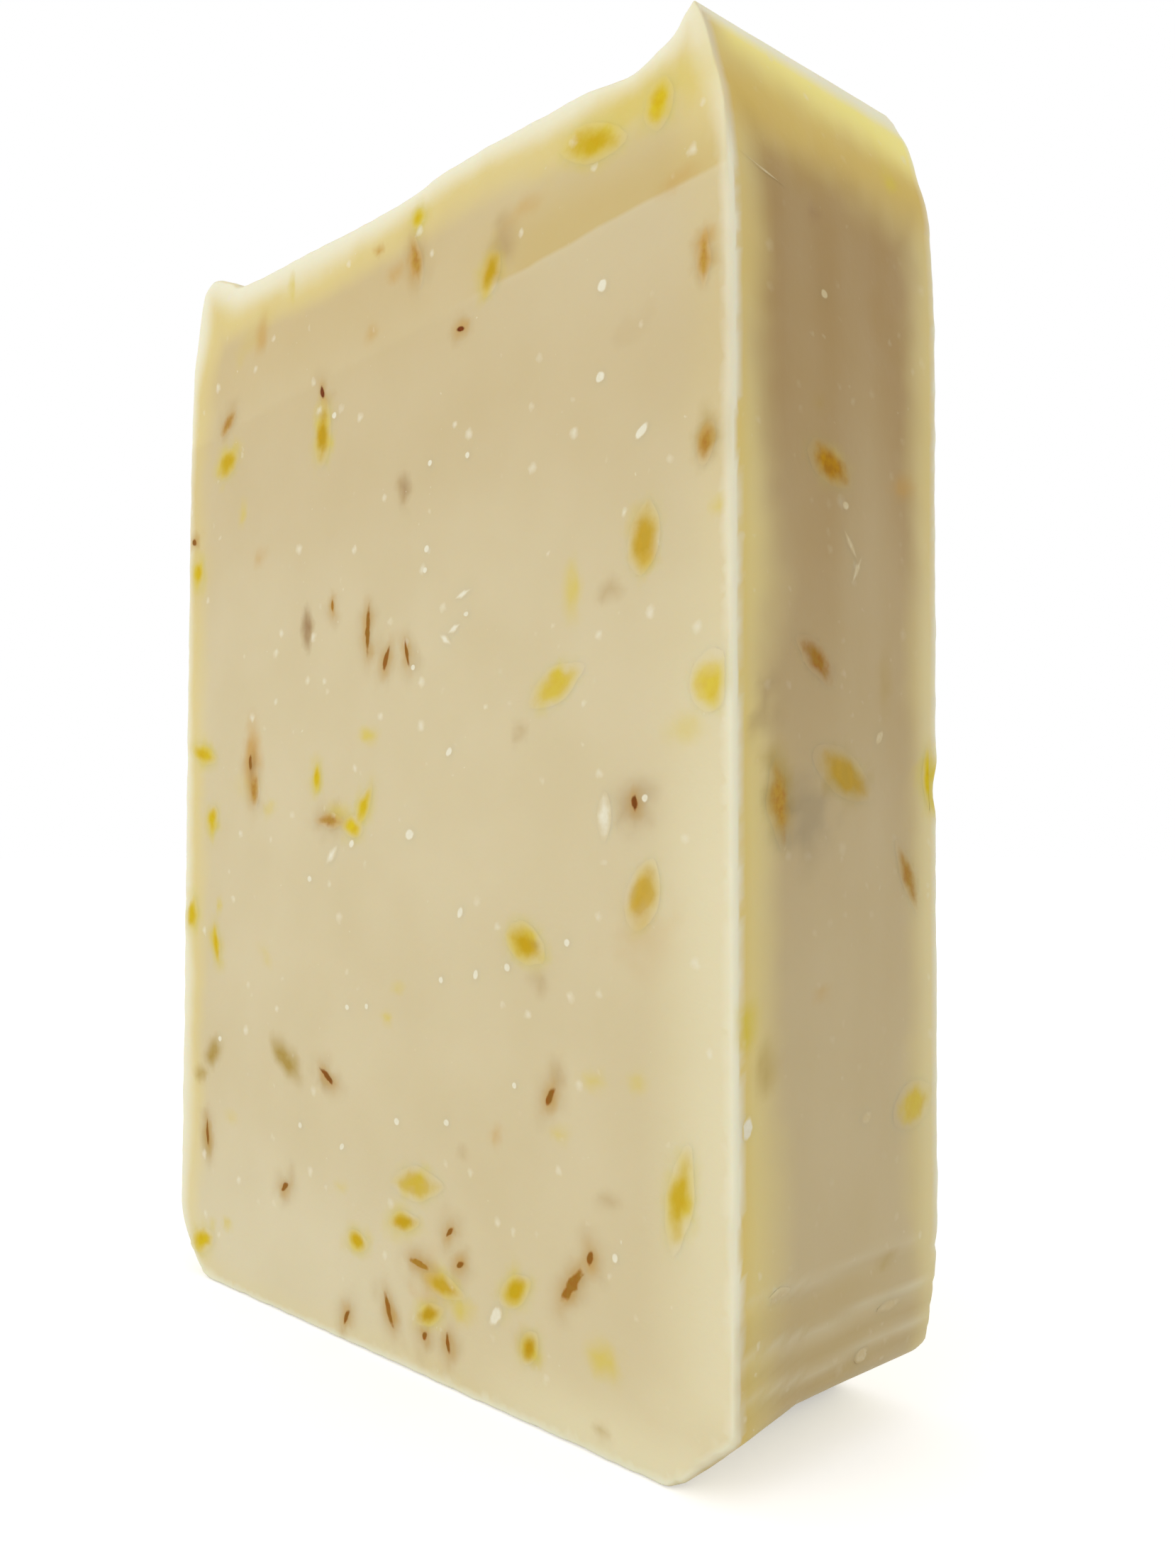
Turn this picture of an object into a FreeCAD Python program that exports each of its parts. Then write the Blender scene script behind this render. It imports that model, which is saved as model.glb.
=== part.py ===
"""A hand-cut bar of cold-process soap: one slice of a poured loaf, with dried petals and bits of flower
head in it.

The slice stands on its foot, the side that lay on the bottom of the mould. Both broad faces were cut by a
wire, the two narrow sides lay against the walls of the mould, and the top is the poured surface as it set,
with a lip where the soap climbed each wall. The wire cut through the flower pieces in its way, so they end
flush with the soap around them. They sit in it as it set round them: each has a pocket of its own shape.

Millimetres. X runs across the slice, Y from the front cut face to the back one, Z up from the foot. The
origin is the middle of the foot.
"""

import FreeCAD, Part
import math
import os

V = FreeCAD.Vector

# The slice
width = 66.6  # from mould wall to mould wall
height = 89.0  # from the foot to the poured surface
thickness = 23.0  # between the cut faces, at the top
cut_taper = 1.1  # the slice is this much thinner at the foot
edge_bevel = 0.55  # softened edge round both cut faces

# The foot, where the mould's bottom corners were. The bevel on the right one widens behind the front
left_bevel = (4.3, 4.3)  # across the foot, and up the wall
right_bevel_front = (5.0, 4.1)
right_bevel_back = (7.8, 5.0)
widening_depth = 7.5  # how far behind the front face it is at its widest
foot_blend = 3.5  # radius where the bevels run into the foot
left_wall_blend = 5.5  # and where each runs into its wall
right_wall_blend = 1.2

# The upper walls lean in towards the lips, where the soap climbed the mould
lean_length = 13.0  # how far below the poured surface the lean starts
left_lip_reach = 7.6  # how far in from its wall each lip reaches
right_lip_reach = 7.2
left_lip_rise = 2.2  # how far its crest stands above the poured surface
right_lip_rise = 2.25
# Their shapes: each point in as a share of the reach, and up as a share of the rise, or down as one of the
# lean
left_lip = [
    (0.026, -0.69), (0.06, -0.42), (0.145, -0.21), (0.25, 0.05),
    (0.33, 0.68), (0.49, 1.0), (0.67, 0.91), (1.0, 0.45),
]
right_lip = [
    (0.028, -0.69), (0.083, -0.37), (0.194, -0.154), (0.306, 0.29),
    (0.43, 1.0), (0.57, 0.81), (0.69, 0.43), (1.0, 0.05),
]
# The poured surface between them: across as a share of the half width, and up as a share of its own swell
crown_swell = 0.45
crown = [
    (-0.70, 0.33), (-0.35, -0.22), (-0.03, -0.55), (0.16, 0.78), (0.36, 1.0), (0.60, 0.78), (0.73, -0.22)
]
lip_growth = 1.25  # how many times higher the lips stand towards the back
lip_keep = 0.85  # and how many times at the back cut face itself
droop_depth = 1.6  # how far in front of that face they start to fall

# Two nicks in the edge between the front face and the right side
nick_radius = 2.4
nick_depth = 0.8  # across the softened corner
nick_heights = [63.3, 15.2]  # above the foot

# The flower pieces
longest_piece = width * 0.075
petal_depth = longest_piece * 0.16  # how deep a cut petal reaches into the soap
fleck_depth = longest_piece * 0.12  # the same for a brown bit
# Their outlines, corner by corner, as shares of half the length and half the width
petal_corners = [
    (-1, -0.15), (-0.6, -0.8), (0, -1), (0.6, -0.72), (1, -0.1), (0.55, 0.7), (-0.1, 1), (-0.65, 0.75)
]
fleck_corners = [(-1, -0.2), (-0.3, -1), (1, -0.5), (0.7, 0.6), (-0.2, 1)]

# Petals on the front face. Each has its place as shares of the half width, from the middle, and of the
# height, then its length as a share of the longest piece, its width as a share of that, and its turn from
# level in degrees
front_petals = [
    (-0.787, 0.824, 0.60, 0.57, 12),
    (-0.321, 0.817, 0.84, 0.36, 86),
    (-0.937, 0.719, 0.40, 0.60, 84),
    (-0.895, 0.529, 0.72, 0.28, -14),
    (-0.841, 0.462, 0.34, 0.71, 80),
    (-0.333, 0.498, 0.34, 0.29, 84),
    (-0.177, 0.452, 0.40, 0.45, -8),
    (-0.132, 0.471, 0.52, 0.31, 58),
    (-0.949, 0.365, 0.48, 0.50, 86),
    (-0.814, 0.337, 0.60, 0.23, 104),
    (-0.868, 0.037, 0.64, 0.41, 20),
    (-0.144, 0.091, 0.40, 0.40, 2),
    (0.066, 0.973, 0.24, 0.58, 20),
    (0.324, 0.897, 0.46, 0.57, 70),
    (0.640, 0.960, 0.96, 0.35, -14),
    (0.820, 0.964, 0.46, 0.65, 80),
    (0.778, 0.654, 0.56, 0.46, 80),
    (0.532, 0.557, 0.68, 0.26, 22),
    (0.943, 0.548, 0.36, 0.72, 80),
    (0.775, 0.401, 0.52, 0.42, 68),
    (0.444, 0.361, 0.60, 0.53, -22),
    (0.868, 0.197, 0.92, 0.24, 79),
    (0.081, 0.155, 0.76, 0.24, 8),
    (0.036, 0.121, 0.56, 0.29, 12),
    (0.180, 0.080, 0.68, 0.21, -4),
    (0.132, 0.053, 0.52, 0.31, 24),
    (0.414, 0.096, 0.52, 0.42, 36),
    (0.459, 0.058, 0.34, 0.53, 60),
]
# Brown bits on the front face, given the same way
front_flecks = [
    (-0.784, 0.865, 0.46, 0.30, 32),
    (-0.324, 0.857, 0.24, 0.42, 112),
    (-0.961, 0.753, 0.20, 0.50, -20),
    (-0.270, 0.654, 0.20, 0.30, 96),
    (-0.120, 0.625, 0.82, 0.15, 88),
    (-0.048, 0.596, 0.42, 0.24, 70),
    (0.033, 0.599, 0.46, 0.15, 104),
    (-0.646, 0.515, 0.34, 0.29, 94),
    (-0.625, 0.490, 0.48, 0.33, 88),
    (-0.276, 0.458, 0.64, 0.16, -4),
    (-0.276, 0.228, 0.46, 0.22, -28),
    (-0.847, 0.145, 0.52, 0.15, 96),
    (-0.459, 0.117, 0.24, 0.42, 30),
    (-0.186, 0.022, 0.30, 0.30, 56),
    (-0.018, 0.043, 0.52, 0.23, 112),
    (0.060, 0.936, 0.68, 0.21, 104),
    (0.222, 0.861, 0.18, 0.44, -10),
    (0.931, 0.838, 0.52, 0.15, 88),
    (0.934, 0.711, 0.30, 0.40, 74),
    (0.754, 0.467, 0.22, 0.45, 88),
    (0.520, 0.248, 0.28, 0.43, 60),
    (0.201, 0.125, 0.20, 0.30, 42),
    (0.237, 0.102, 0.18, 0.39, 24),
    (0.096, 0.091, 0.48, 0.21, -6),
    (0.114, 0.034, 0.14, 0.64, 60),
    (0.198, 0.036, 0.28, 0.29, 100),
    (0.583, 0.115, 0.68, 0.24, 50),
    (0.634, 0.138, 0.24, 0.42, 72),
]
# On the right side: along as a share of half the thickness, towards the back, and the rest as above
side_petals = [
    (-0.139, 0.712, 0.64, 0.44, -16),
    (0.861, 0.489, 0.56, 0.39, 96),
    (0.635, 0.240, 0.40, 0.50, 15),
    (-0.035, 0.488, 0.64, 0.31, -22),
]
side_flecks = [
    (-0.287, 0.569, 0.58, 0.34, -36),
    (0.600, 0.413, 0.60, 0.20, -62),
    (-0.617, 0.465, 0.60, 0.30, 96),
]
# Sides that the wire and the walls left out of view hold as many pieces, spread evenly
back_pieces = 26
left_pieces = 6
golden_step = (math.sqrt(5) - 1) / 2  # steps of this share never fall on one another
turn_step = 137.5
piece_lengths = (0.32, 0.68)  # shortest and longest, as shares of the longest piece
piece_widths = (0.35, 0.5)  # narrowest and widest, as shares of their length
spread_margin = longest_piece * 0.8  # how far from a face's edges they stay

overshoot = 2.0  # how far a cutting or trimmed shape runs past the face it ends at


def arcs_through(points, start_along, end_along):
    """A chain of arcs that follows the smooth curve through the points, one arc between each two."""
    spline = Part.BSplineCurve()
    spline.interpolate(Points=points, InitialTangent=start_along, FinalTangent=end_along)
    knots = spline.getKnots()
    return [
        Part.Arc(spline.value(low), spline.value((low + high) / 2), spline.value(high)).toShape()
        for low, high in zip(knots, knots[1:])
    ]


def blended(corner, before, after, radius):
    """The start, middle and end of the arc that rounds a corner between two directions."""
    half_turn = before.getAngle(after) / 2
    reach = radius * math.tan(half_turn)
    middle = corner + (after - before).normalize() * radius * (1 / math.cos(half_turn) - 1)
    return [corner - before * reach, middle, corner + after * reach]


def foot_corner(at, side, bevel, wall_blend, inset):
    """The bevelled and blended corner between the foot and one wall, and where it starts and ends."""
    across, up = bevel
    low, high = V(width / 2 - across, 0, 0), V(width / 2, 0, up)
    slope = (high - low).normalize()
    half_low = math.atan2(up, across) / 2
    low += V(-math.tan(half_low), 0, 1) * inset
    high += V(-1, 0, math.tan(math.pi / 4 - half_low)) * inset
    low_arc = blended(low, V(1, 0, 0), slope, foot_blend - inset)
    high_arc = blended(high, slope, V(0, 0, 1), wall_blend - inset)
    low_arc, high_arc = [[at(side * spot.x, spot.z) for spot in arc] for arc in (low_arc, high_arc)]
    flat = Part.LineSegment(low_arc[-1], high_arc[0])
    edges = [Part.Arc(*low_arc).toShape(), flat.toShape(), Part.Arc(*high_arc).toShape()]
    return edges, low_arc[0], high_arc[-1]


def section(foot_y, lean, keep=1, inset=0, right_bevel=right_bevel_back):
    """The closed outline of the slice on one upright or leaning plane.

    foot_y is where the plane meets the foot, lean how far back it goes per millimetre of height, keep how
    many times their rise at the front the lips stand there, and inset how far the outline is drawn in for
    the softened edge.
    """
    wall = width / 2 - inset
    lean_start = height - lean_length

    def at(x, z):
        return V(x, foot_y + lean * z, z)

    def level(share, rise):
        return height + (share * rise * keep if share > 0 else share * lean_length)

    def lip(points, side, reach_in, rise):
        crest = max(points, key=lambda point: point[1])[0]
        spots = []
        for inward, share in points:
            flank = 1 if inward < crest else 0
            x = side * (width / 2 - inward * reach_in - inset * flank)
            spots.append(at(x, level(share, rise) - inset * (1 - flank / 2)))
        return spots

    top = [at(-wall, lean_start)] + lip(left_lip, -1, left_lip_reach, left_lip_rise)
    for across, share in crown:
        swell = crown_swell * share * (keep if share > 0 else 1)
        top.append(at(width / 2 * across, height + swell - inset))
    top += list(reversed(lip(right_lip, 1, right_lip_reach, right_lip_rise))) + [at(wall, lean_start)]
    edges = arcs_through(top, V(0, lean, 1), V(0, -lean, -1))
    foot_ends = []
    for side, *shape in ((-1, left_bevel, left_wall_blend), (1, right_bevel, right_wall_blend)):
        corner, foot_end, wall_end = foot_corner(at, side, *shape, inset)
        edges += corner + [Part.LineSegment(wall_end, at(side * wall, lean_start)).toShape()]
        foot_ends.append(foot_end)
    edges.append(Part.LineSegment(*foot_ends).toShape())
    return Part.Wire(Part.__sortEdges__(edges))


def back_face(z):
    """How far back the back cut face stands at one height."""
    return thickness / 2 - cut_taper * (1 - z / height)


def loaf_slice():
    """The slice between its two cut faces, with a small bevel where thumbs softened the edge round both."""
    lean = cut_taper / height
    almost = lip_growth - (lip_growth - lip_keep) * (1 - edge_bevel / droop_depth)
    widened = 1 + (lip_growth - 1) * widening_depth / (thickness - droop_depth)
    sections = [
        section(-thickness / 2, 0, inset=edge_bevel, right_bevel=right_bevel_front),
        section(-thickness / 2 + edge_bevel, 0, right_bevel=right_bevel_front),
        section(-thickness / 2 + widening_depth, 0, keep=widened),
        section(back_face(0) - droop_depth, lean, keep=lip_growth),
        section(back_face(0) - edge_bevel, lean, keep=almost),
        section(back_face(0), lean, keep=lip_keep, inset=edge_bevel),
    ]
    return Part.makeLoft(sections, True, True)


def nicks():
    """Balls that take a shallow bite from the front right edge."""
    reach = nick_radius + edge_bevel * math.sqrt(0.5) - nick_depth
    out = reach * math.sqrt(0.5)
    return [
        Part.makeSphere(nick_radius, V(width / 2 + out, -thickness / 2 - out, z)) for z in nick_heights
    ]


def turned_outline(corners, length, across, turn):
    """A closed outline about the origin, from corners given as shares of its half length and half width."""
    points = [V(share * length / 2, rise * across / 2, 0) for share, rise in corners]
    outline = Part.makePolygon(points + points[:1])
    outline.rotate(V(0, 0, 0), V(0, 0, 1), turn)
    return outline


def sunk(corners, placement, depth, length_share, width_share, turn):
    """The prism of one flower piece, from the depth it reaches below a face to past that face."""
    length = longest_piece * length_share
    outline = turned_outline(corners, length, length * width_share, turn)
    outline.translate(V(0, 0, -depth))
    prism = Part.Face(outline).extrude(V(0, 0, depth + overshoot))
    prism.Placement = placement.multiply(prism.Placement)
    return prism


def on_front(x, z):
    face = V(x, -thickness / 2, z)
    return FreeCAD.Placement(face, FreeCAD.Rotation(V(1, 0, 0), V(0, 0, 1), V(0, -1, 0), "ZXY"))


def on_back(x, z):
    face = V(x, back_face(z), z)
    return FreeCAD.Placement(face, FreeCAD.Rotation(V(-1, 0, 0), V(0, 0, 1), V(0, 1, 0), "ZXY"))


def on_right(y, z):
    face = V(width / 2, y, z)
    return FreeCAD.Placement(face, FreeCAD.Rotation(V(0, 1, 0), V(0, 0, 1), V(1, 0, 0), "ZXY"))


def on_left(y, z):
    face = V(-width / 2, y, z)
    return FreeCAD.Placement(face, FreeCAD.Rotation(V(0, -1, 0), V(0, 0, 1), V(-1, 0, 0), "ZXY"))


def spread(count, low_a, high_a, low_b, high_b):
    """Even, unruly places over a face: a golden step across it and one even step up it per piece."""
    places = []
    for i in range(count):
        a = low_a + (high_a - low_a) * ((0.5 + i * golden_step) % 1)
        b = low_b + (high_b - low_b) * (i + 0.5) / count
        mix = (i * golden_step * 2) % 1
        length = piece_lengths[0] + (piece_lengths[1] - piece_lengths[0]) * mix
        share = piece_widths[0] + (piece_widths[1] - piece_widths[0]) * (1 - mix)
        places.append((a, b, length, share, turn_step * i))
    return places


def flower_pieces():
    """The raw prisms of every petal, and of every brown bit."""
    m = spread_margin
    half_width, half_depth = width / 2, thickness / 2
    back = spread(back_pieces, -half_width + m, half_width - m, m, height - m)
    left = spread(left_pieces, -half_depth + m, half_depth - m, 2 * m, height - lean_length - m)
    kinds = (
        (petal_corners, petal_depth, front_petals, side_petals, back[::2], left[::2]),
        (fleck_corners, fleck_depth, front_flecks, side_flecks, back[1::2], left[1::2]),
    )
    made = []
    for corners, depth, front, side, on_hidden_back, on_hidden_left in kinds:
        places = [(on_front(half_width * a, height * b), shape) for a, b, *shape in front]
        places += [(on_right(half_depth * a, height * b), shape) for a, b, *shape in side]
        places += [(on_back(a, b), shape) for a, b, *shape in on_hidden_back]
        places += [(on_left(a, b), shape) for a, b, *shape in on_hidden_left]
        made.append([sunk(corners, placement, depth, *shape) for placement, shape in places])
    return made


def cast_in(pieces, bar):
    """The pieces as the wire left them, trimmed to the faces of the bar."""
    return [piece.common(bar).Solids[0] for piece in pieces]


def main():
    os.makedirs("parts", exist_ok=True)
    raw_bar = loaf_slice().removeSplitter().cut(nicks())
    petals, flecks = [cast_in(pieces, raw_bar) for pieces in flower_pieces()]
    nodes = {
        "soap_bar": raw_bar.cut(petals + flecks).Solids[0],
        "yellow_petals": Part.makeCompound(petals),
        "brown_flecks": Part.makeCompound(flecks),
    }
    for name, shape in nodes.items():
        shape.exportStep(f"parts/{name}.step")
        box = shape.BoundBox
        print(name, len(shape.Solids), "solid(s)", round(shape.Volume), "mm3", shape.isValid())
        print("  x", round(box.XMin, 2), round(box.XMax, 2), "y", round(box.YMin, 2), round(box.YMax, 2))
        print("  z", round(box.ZMin, 2), round(box.ZMax, 2))


main()
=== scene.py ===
# %% [markdown]
# # A hand-cut bar of cold-process soap
# The bar is one slice of a poured loaf. It stands on its foot, with a wire-cut face on either side, a
# mould wall left and right, and a poured top that climbed the walls as two lips. Dried petals and bits
# of flower head are cast into it, and the wire cut through those in its way.
#
# The solids come from the part's source. This lesson dresses them: it builds a finer skin for the soap,
# lays the flower pieces in it, and gives both a finish. Everything is in metres, but the numbers here
# are millimetres, so one value, `mm`, turns one into the other.

# %% Load the solids
import math

import bmesh
import bpy
import numpy as np
from mathutils import Euler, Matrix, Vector, noise
from mathutils.geometry import delaunay_2d_cdt


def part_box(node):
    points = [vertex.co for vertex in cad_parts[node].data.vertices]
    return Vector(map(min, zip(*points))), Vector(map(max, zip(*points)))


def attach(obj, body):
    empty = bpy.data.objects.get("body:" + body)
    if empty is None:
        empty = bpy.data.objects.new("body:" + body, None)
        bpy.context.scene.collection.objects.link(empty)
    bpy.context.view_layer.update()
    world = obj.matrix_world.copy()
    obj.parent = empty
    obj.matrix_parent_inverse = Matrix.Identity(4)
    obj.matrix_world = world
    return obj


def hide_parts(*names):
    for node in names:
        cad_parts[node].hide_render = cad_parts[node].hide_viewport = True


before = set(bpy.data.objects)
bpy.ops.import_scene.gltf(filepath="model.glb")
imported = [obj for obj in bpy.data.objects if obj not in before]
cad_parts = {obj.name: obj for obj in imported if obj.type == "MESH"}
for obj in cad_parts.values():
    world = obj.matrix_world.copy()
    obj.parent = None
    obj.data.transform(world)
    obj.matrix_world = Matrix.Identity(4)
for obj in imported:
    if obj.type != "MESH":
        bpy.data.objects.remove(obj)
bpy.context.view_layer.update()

mm = 0.001
bar_low, bar_high = (np.array(corner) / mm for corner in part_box("soap_bar"))
print("the solid bar spans", bar_low.round(2), "to", bar_high.round(2), "mm")

# %% [markdown]
# ## The camera
# The photograph was taken close up, from a hand's width away and a little below the middle of the bar,
# so the upright edges stay nearly upright and the level ones run steeply to their vanishing points.
# Such a view comes from a wide lens near the object. A long lens further off would flatten it, so the
# distance is set first, and the lens then only fills the frame.

# %% Camera
camera_place = (85.465, -73.94, 39.024)
camera_turn = (92.427, -0.061, 45.944)  # degrees: a little above level, no lean, and round to the corner

camera = bpy.data.objects.new("Camera", bpy.data.cameras.new("Camera"))
bpy.context.scene.collection.objects.link(camera)
camera.location = Vector(camera_place) * mm
camera.rotation_euler = Euler([math.radians(turn) for turn in camera_turn])
camera.data.lens = 31.64
camera.data.sensor_width = 36.0
camera.data.sensor_fit = "AUTO"
camera.data.clip_start = 0.005
bpy.context.scene.camera = camera
print("the camera stands", round(camera.location.length / mm), "mm from the foot of the bar")

# %% [markdown]
# ## Outline of the slice
# Every slice of the loaf has the same outline: a foot with two bevelled corners from the mould, two
# walls that lean in near the top, and a poured surface with a lip at each end. It is written as a list
# of points and joined by a smooth curve. One curve that is sampled at the same places for every layer
# makes the skin easy to stitch, because point number 200 of one layer always meets point number 200 of
# the next.

# %% Measures of the slice
wall = 33.3  # the middle of the slice to a mould wall
height = 89.0  # the foot to the poured surface
front, back_top = -11.5, 11.5  # where the cut faces are, at the top
taper = 1.1 / height  # how the back one comes forward, for each millimetre down
lean = 13.0  # how far below the poured surface the walls start to lean in
usual_edge = 0.55  # how wide the rounded edge of a cut face mostly is
last_depth = 22.8  # how far behind the front face the last layers take their outline

# Each lip, as how far in from its wall, and how far above the poured surface
left_lip = [
    (0.2, -9.0), (0.46, -5.46), (1.1, -2.73), (1.9, 0.11),
    (2.5, 1.5), (3.72, 2.2), (5.1, 2.0), (7.6, 0.99),
]
right_lip = [
    (0.2, -9.0), (0.6, -4.8), (1.4, -2.0), (2.2, 0.65),
    (3.1, 2.25), (4.1, 1.82), (4.97, 0.97), (7.2, 0.11),
]
# The poured surface between them, as how far across, and how far above its level
crown = [
    (-23.3, 0.15), (-11.6, -0.1), (-1.0, -0.25), (5.3, 0.35),
    (12.0, 0.45), (20.0, 0.35), (24.3, -0.1),
]
print("a slice", 2 * wall, "mm wide, with lips of", len(left_lip), "and", len(right_lip), "points")

# %% Smooth curves and arcs
def smooth_through(points, per_span):
    """A smooth curve through the points, with a number of samples for each span between two of them."""
    p = np.array([points[0]] + list(points) + [points[-1]], float)
    samples = []
    for a, b, c, d, count in zip(p[:-3], p[1:-2], p[2:-1], p[3:], per_span):
        t = np.linspace(0, 1, count, endpoint=False)[:, None]
        bend = (2 * a - 5 * b + 4 * c - d) * t**2 + (3 * b - a - 3 * c + d) * t**3
        samples.append(0.5 * (2 * b + (c - a) * t + bend))
    return np.vstack(samples)


def straight(start, end, count):
    t = np.linspace(0, 1, count, endpoint=False)[:, None]
    return np.array(start) * (1 - t) + np.array(end) * t


def blend_arc(corner, before, after, radius, count):
    """An arc of one radius that rounds a corner between two directions."""
    before, after = np.array(before, float), np.array(after, float)
    half = math.acos(np.clip(-before @ after, -1, 1)) / 2
    reach = radius / math.tan(half)
    middle = (after - before) / np.linalg.norm(after - before)
    centre = np.array(corner) + middle * radius / math.sin(half)
    start = np.array(corner) - before * reach
    a0 = math.atan2(*(start - centre)[::-1])
    turn = math.pi - 2 * half
    a = a0 + np.linspace(0, turn, count, endpoint=False)
    return centre + radius * np.c_[np.cos(a), np.sin(a)], start, np.array(corner) + after * reach


_, arc_start, _ = blend_arc((0, 0), (1, 0), (0, 1), 2, 4)
print("a right angle rounded by 2 mm starts", np.abs(arc_start).max().round(1), "mm from its corner")

# %% Outline of the slice
spacing = 0.5  # between neighbouring points
foot_radius = 3.5  # the blend between each bevel and the foot
left_bevel, left_radius = (4.3, 4.3), 5.5  # across the foot and up the wall, and its blend into the wall
right_front, right_back, right_radius = (5.0, 4.1), (7.8, 5.0), 1.2  # it widens behind the front face


def foot_corner(side, bevel, wall_radius):
    """One foot corner from the foot up, and where its blends leave the foot and meet the wall."""
    across, up = bevel
    slope = np.array((across, up)) / math.hypot(across, up)
    low, start, low_end = blend_arc((wall - across, 0), (1, 0), slope, foot_radius, 6)
    high, high_start, end = blend_arc((wall, up), slope, (0, 1), wall_radius, 6)
    corner = np.vstack([low, straight(low_end, high_start, 6), high, [end]])
    return corner * (side, 1), start * (side, 1), end * (side, 1)


def poured_top(keep):
    """The walls' lean, the lips and the crown, from the right wall to the left one."""
    lift = lambda rise: height + (rise * keep if rise > 0 else rise)
    points = [(wall, height - lean)] + [(wall - i, lift(r)) for i, r in right_lip]
    points += [(x, lift(r)) for x, r in reversed(crown)]
    return points + [(-wall + i, lift(r)) for i, r in reversed(left_lip)] + [(-wall, height - lean)]


def outline(depth=0.0):
    """The closed outline some way behind the front face, anticlockwise from the middle of the foot."""
    past_edge = depth - usual_edge
    widened = np.clip(past_edge / 6.95, 0, 1)  # of the right bevel, done 7.5 mm in
    right_bevel = np.array(right_front) * (1 - widened) + np.array(right_back) * widened
    grown, drooped = np.clip(past_edge / 20.85, 0, 1), np.clip((depth - 21.4) / 1.6, 0, 1)
    keep = 1 + 0.25 * grown - 0.4 * drooped  # the lips' height
    right, right_foot, right_end = foot_corner(1, right_bevel, right_radius * (1 + 1.1 * widened))
    left, left_foot, left_end = foot_corner(-1, left_bevel, left_radius)
    top = poured_top(keep)
    return np.vstack([
        straight((0, 0), right_foot, 54), right[:-1],
        straight(right_end, top[0], 140), smooth_through(top, top_spans),
        straight(top[-1], left_end, 138), left[:0:-1],
        straight(left_foot, (0, 0), 56),
    ])


full_top = poured_top(1.0)
top_spans = [max(3, round(math.dist(a, b) / spacing)) for a, b in zip(full_top, full_top[1:])]
full_outline = outline()
count_round = len(full_outline)
print("the outline has", count_round, "points and reaches", full_outline[:, 1].max().round(2), "mm up")

# %% [markdown]
# ## The skin, layer by layer
# The band round the slice is a stack of outlines from the front face to the back one. The first and
# last few are drawn in, which rounds the edges. A cut edge of soap is never one even radius: thumbs and
# the wire leave it wider here and narrower there, with a nick or two, so the edge width is an array
# that changes round the outline. A bevel modifier could only give one width, and this way each nick
# sits where it is in the photograph.

# %% Layers of the band
def inward(points):
    """Unit directions that point into a closed anticlockwise outline."""
    along = np.roll(points, -2, 0) - np.roll(points, 2, 0)
    along /= np.linalg.norm(along, axis=1)[:, None]
    return np.c_[-along[:, 1], along[:, 0]]


def bump_at(value, middle, half_width):
    """1 at the middle, falling smoothly to nothing over a few half widths."""
    return np.exp(-(((value - middle) / half_width) ** 2))


def rough(points, size, seed):
    """Smooth noise from -1 to 1 at each point, with features of about one size in millimetres."""
    shift = Vector((seed, seed * 0.7, seed * 1.3))
    return np.array([noise.noise(Vector(p) / size + shift) for p in points])


# Nicks and worn places of the two right edges, as how far up, half how long, and how much wider
front_wear = [(63.3, 1.6, 0.45), (15.2, 1.8, 0.30), (2.5, 2.0, 0.35)]
back_wear = [(41.8, 1.3, 0.45), (44.0, 1.2, -0.25), (83.0, 5.0, 0.1), (4.8, 1.8, 0.8)]


def edge_width(wear, at_back):
    """How wide the rounded edge of a cut face is, at each point of the outline."""
    x, z = full_outline.T
    seed = 9.0 if at_back else 3.0
    round_points = np.c_[x, z, 0 * x]
    width = usual_edge + 0.16 * rough(round_points, 3.0, seed) + 0.12 * rough(round_points, 1.1, seed + 1)
    right = x > 30
    width += right * sum(wider * bump_at(z, up, half) for up, half, wider in wear)
    if at_back:  # softest along the foot
        width += 1.1 * bump_at(z, 0.0, 7.0)
    else:  # broken at the lowest corner, crisp under the foot and at the tip of the lip
        width += 0.35 * (x > 27.5) * (z < 4.6) * rough(round_points, 0.8, 5.0) - 0.22 * (z < 0.3)
        width -= 0.24 * right * np.clip((z - 79) / 5, 0, 1)
    return np.clip(width, 0.25, 2.7)


front_edge, back_edge = edge_width(front_wear, False), edge_width(back_wear, True)
for name, widths in (("front", front_edge), ("back", back_edge)):
    print("the", name, "edge is", widths.min().round(2), "to", widths.max().round(2), "mm wide")

# %% Stack the layers
steps = [0, 25, 50, 72, 90]  # degrees round each edge
band_layers = 34  # between the two edges


def layer(y_of, depth, inset):
    """One outline, drawn in by an inset at each point, and set at the y that its height gives."""
    flat = outline(depth)
    flat = flat + inward(flat) * inset[:, None]
    return np.c_[flat[:, 0], y_of(flat[:, 1]), flat[:, 1]]


def back_face(z):
    """Where the back cut face is at a height."""
    return back_top - taper * (height - z)


layers = []
for angle in steps:
    back, inset = (front_edge * (1 - part(math.radians(angle))) for part in (math.cos, math.sin))
    layers.append(layer(lambda z: front + back, 0.0, inset))
for share in np.linspace(0, 1, band_layers + 1)[1:-1]:
    between = lambda z: (front + front_edge) * (1 - share) + (back_face(z) - back_edge) * share
    layers.append(layer(between, usual_edge + 21.9 * share, 0 * front_edge))
for angle in reversed(steps):
    forward, inset = (back_edge * (1 - part(math.radians(angle))) for part in (math.cos, math.sin))
    layers.append(layer(lambda z: back_face(z) - forward, last_depth, inset))
print(len(layers), "layers of", count_round, "points")

# %% [markdown]
# ## Filling the two cut faces
# The wide faces need an even scatter of points, so that shallow pits and stains can be put anywhere. A
# grid of points, each nudged a little at random, is joined by a Delaunay triangulation inside the
# outline. The nudges keep any row of points from showing as a line in the gloss. The front face is
# finer than the back.

# %% Points inside an outline
rng = np.random.default_rng(7)


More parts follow.
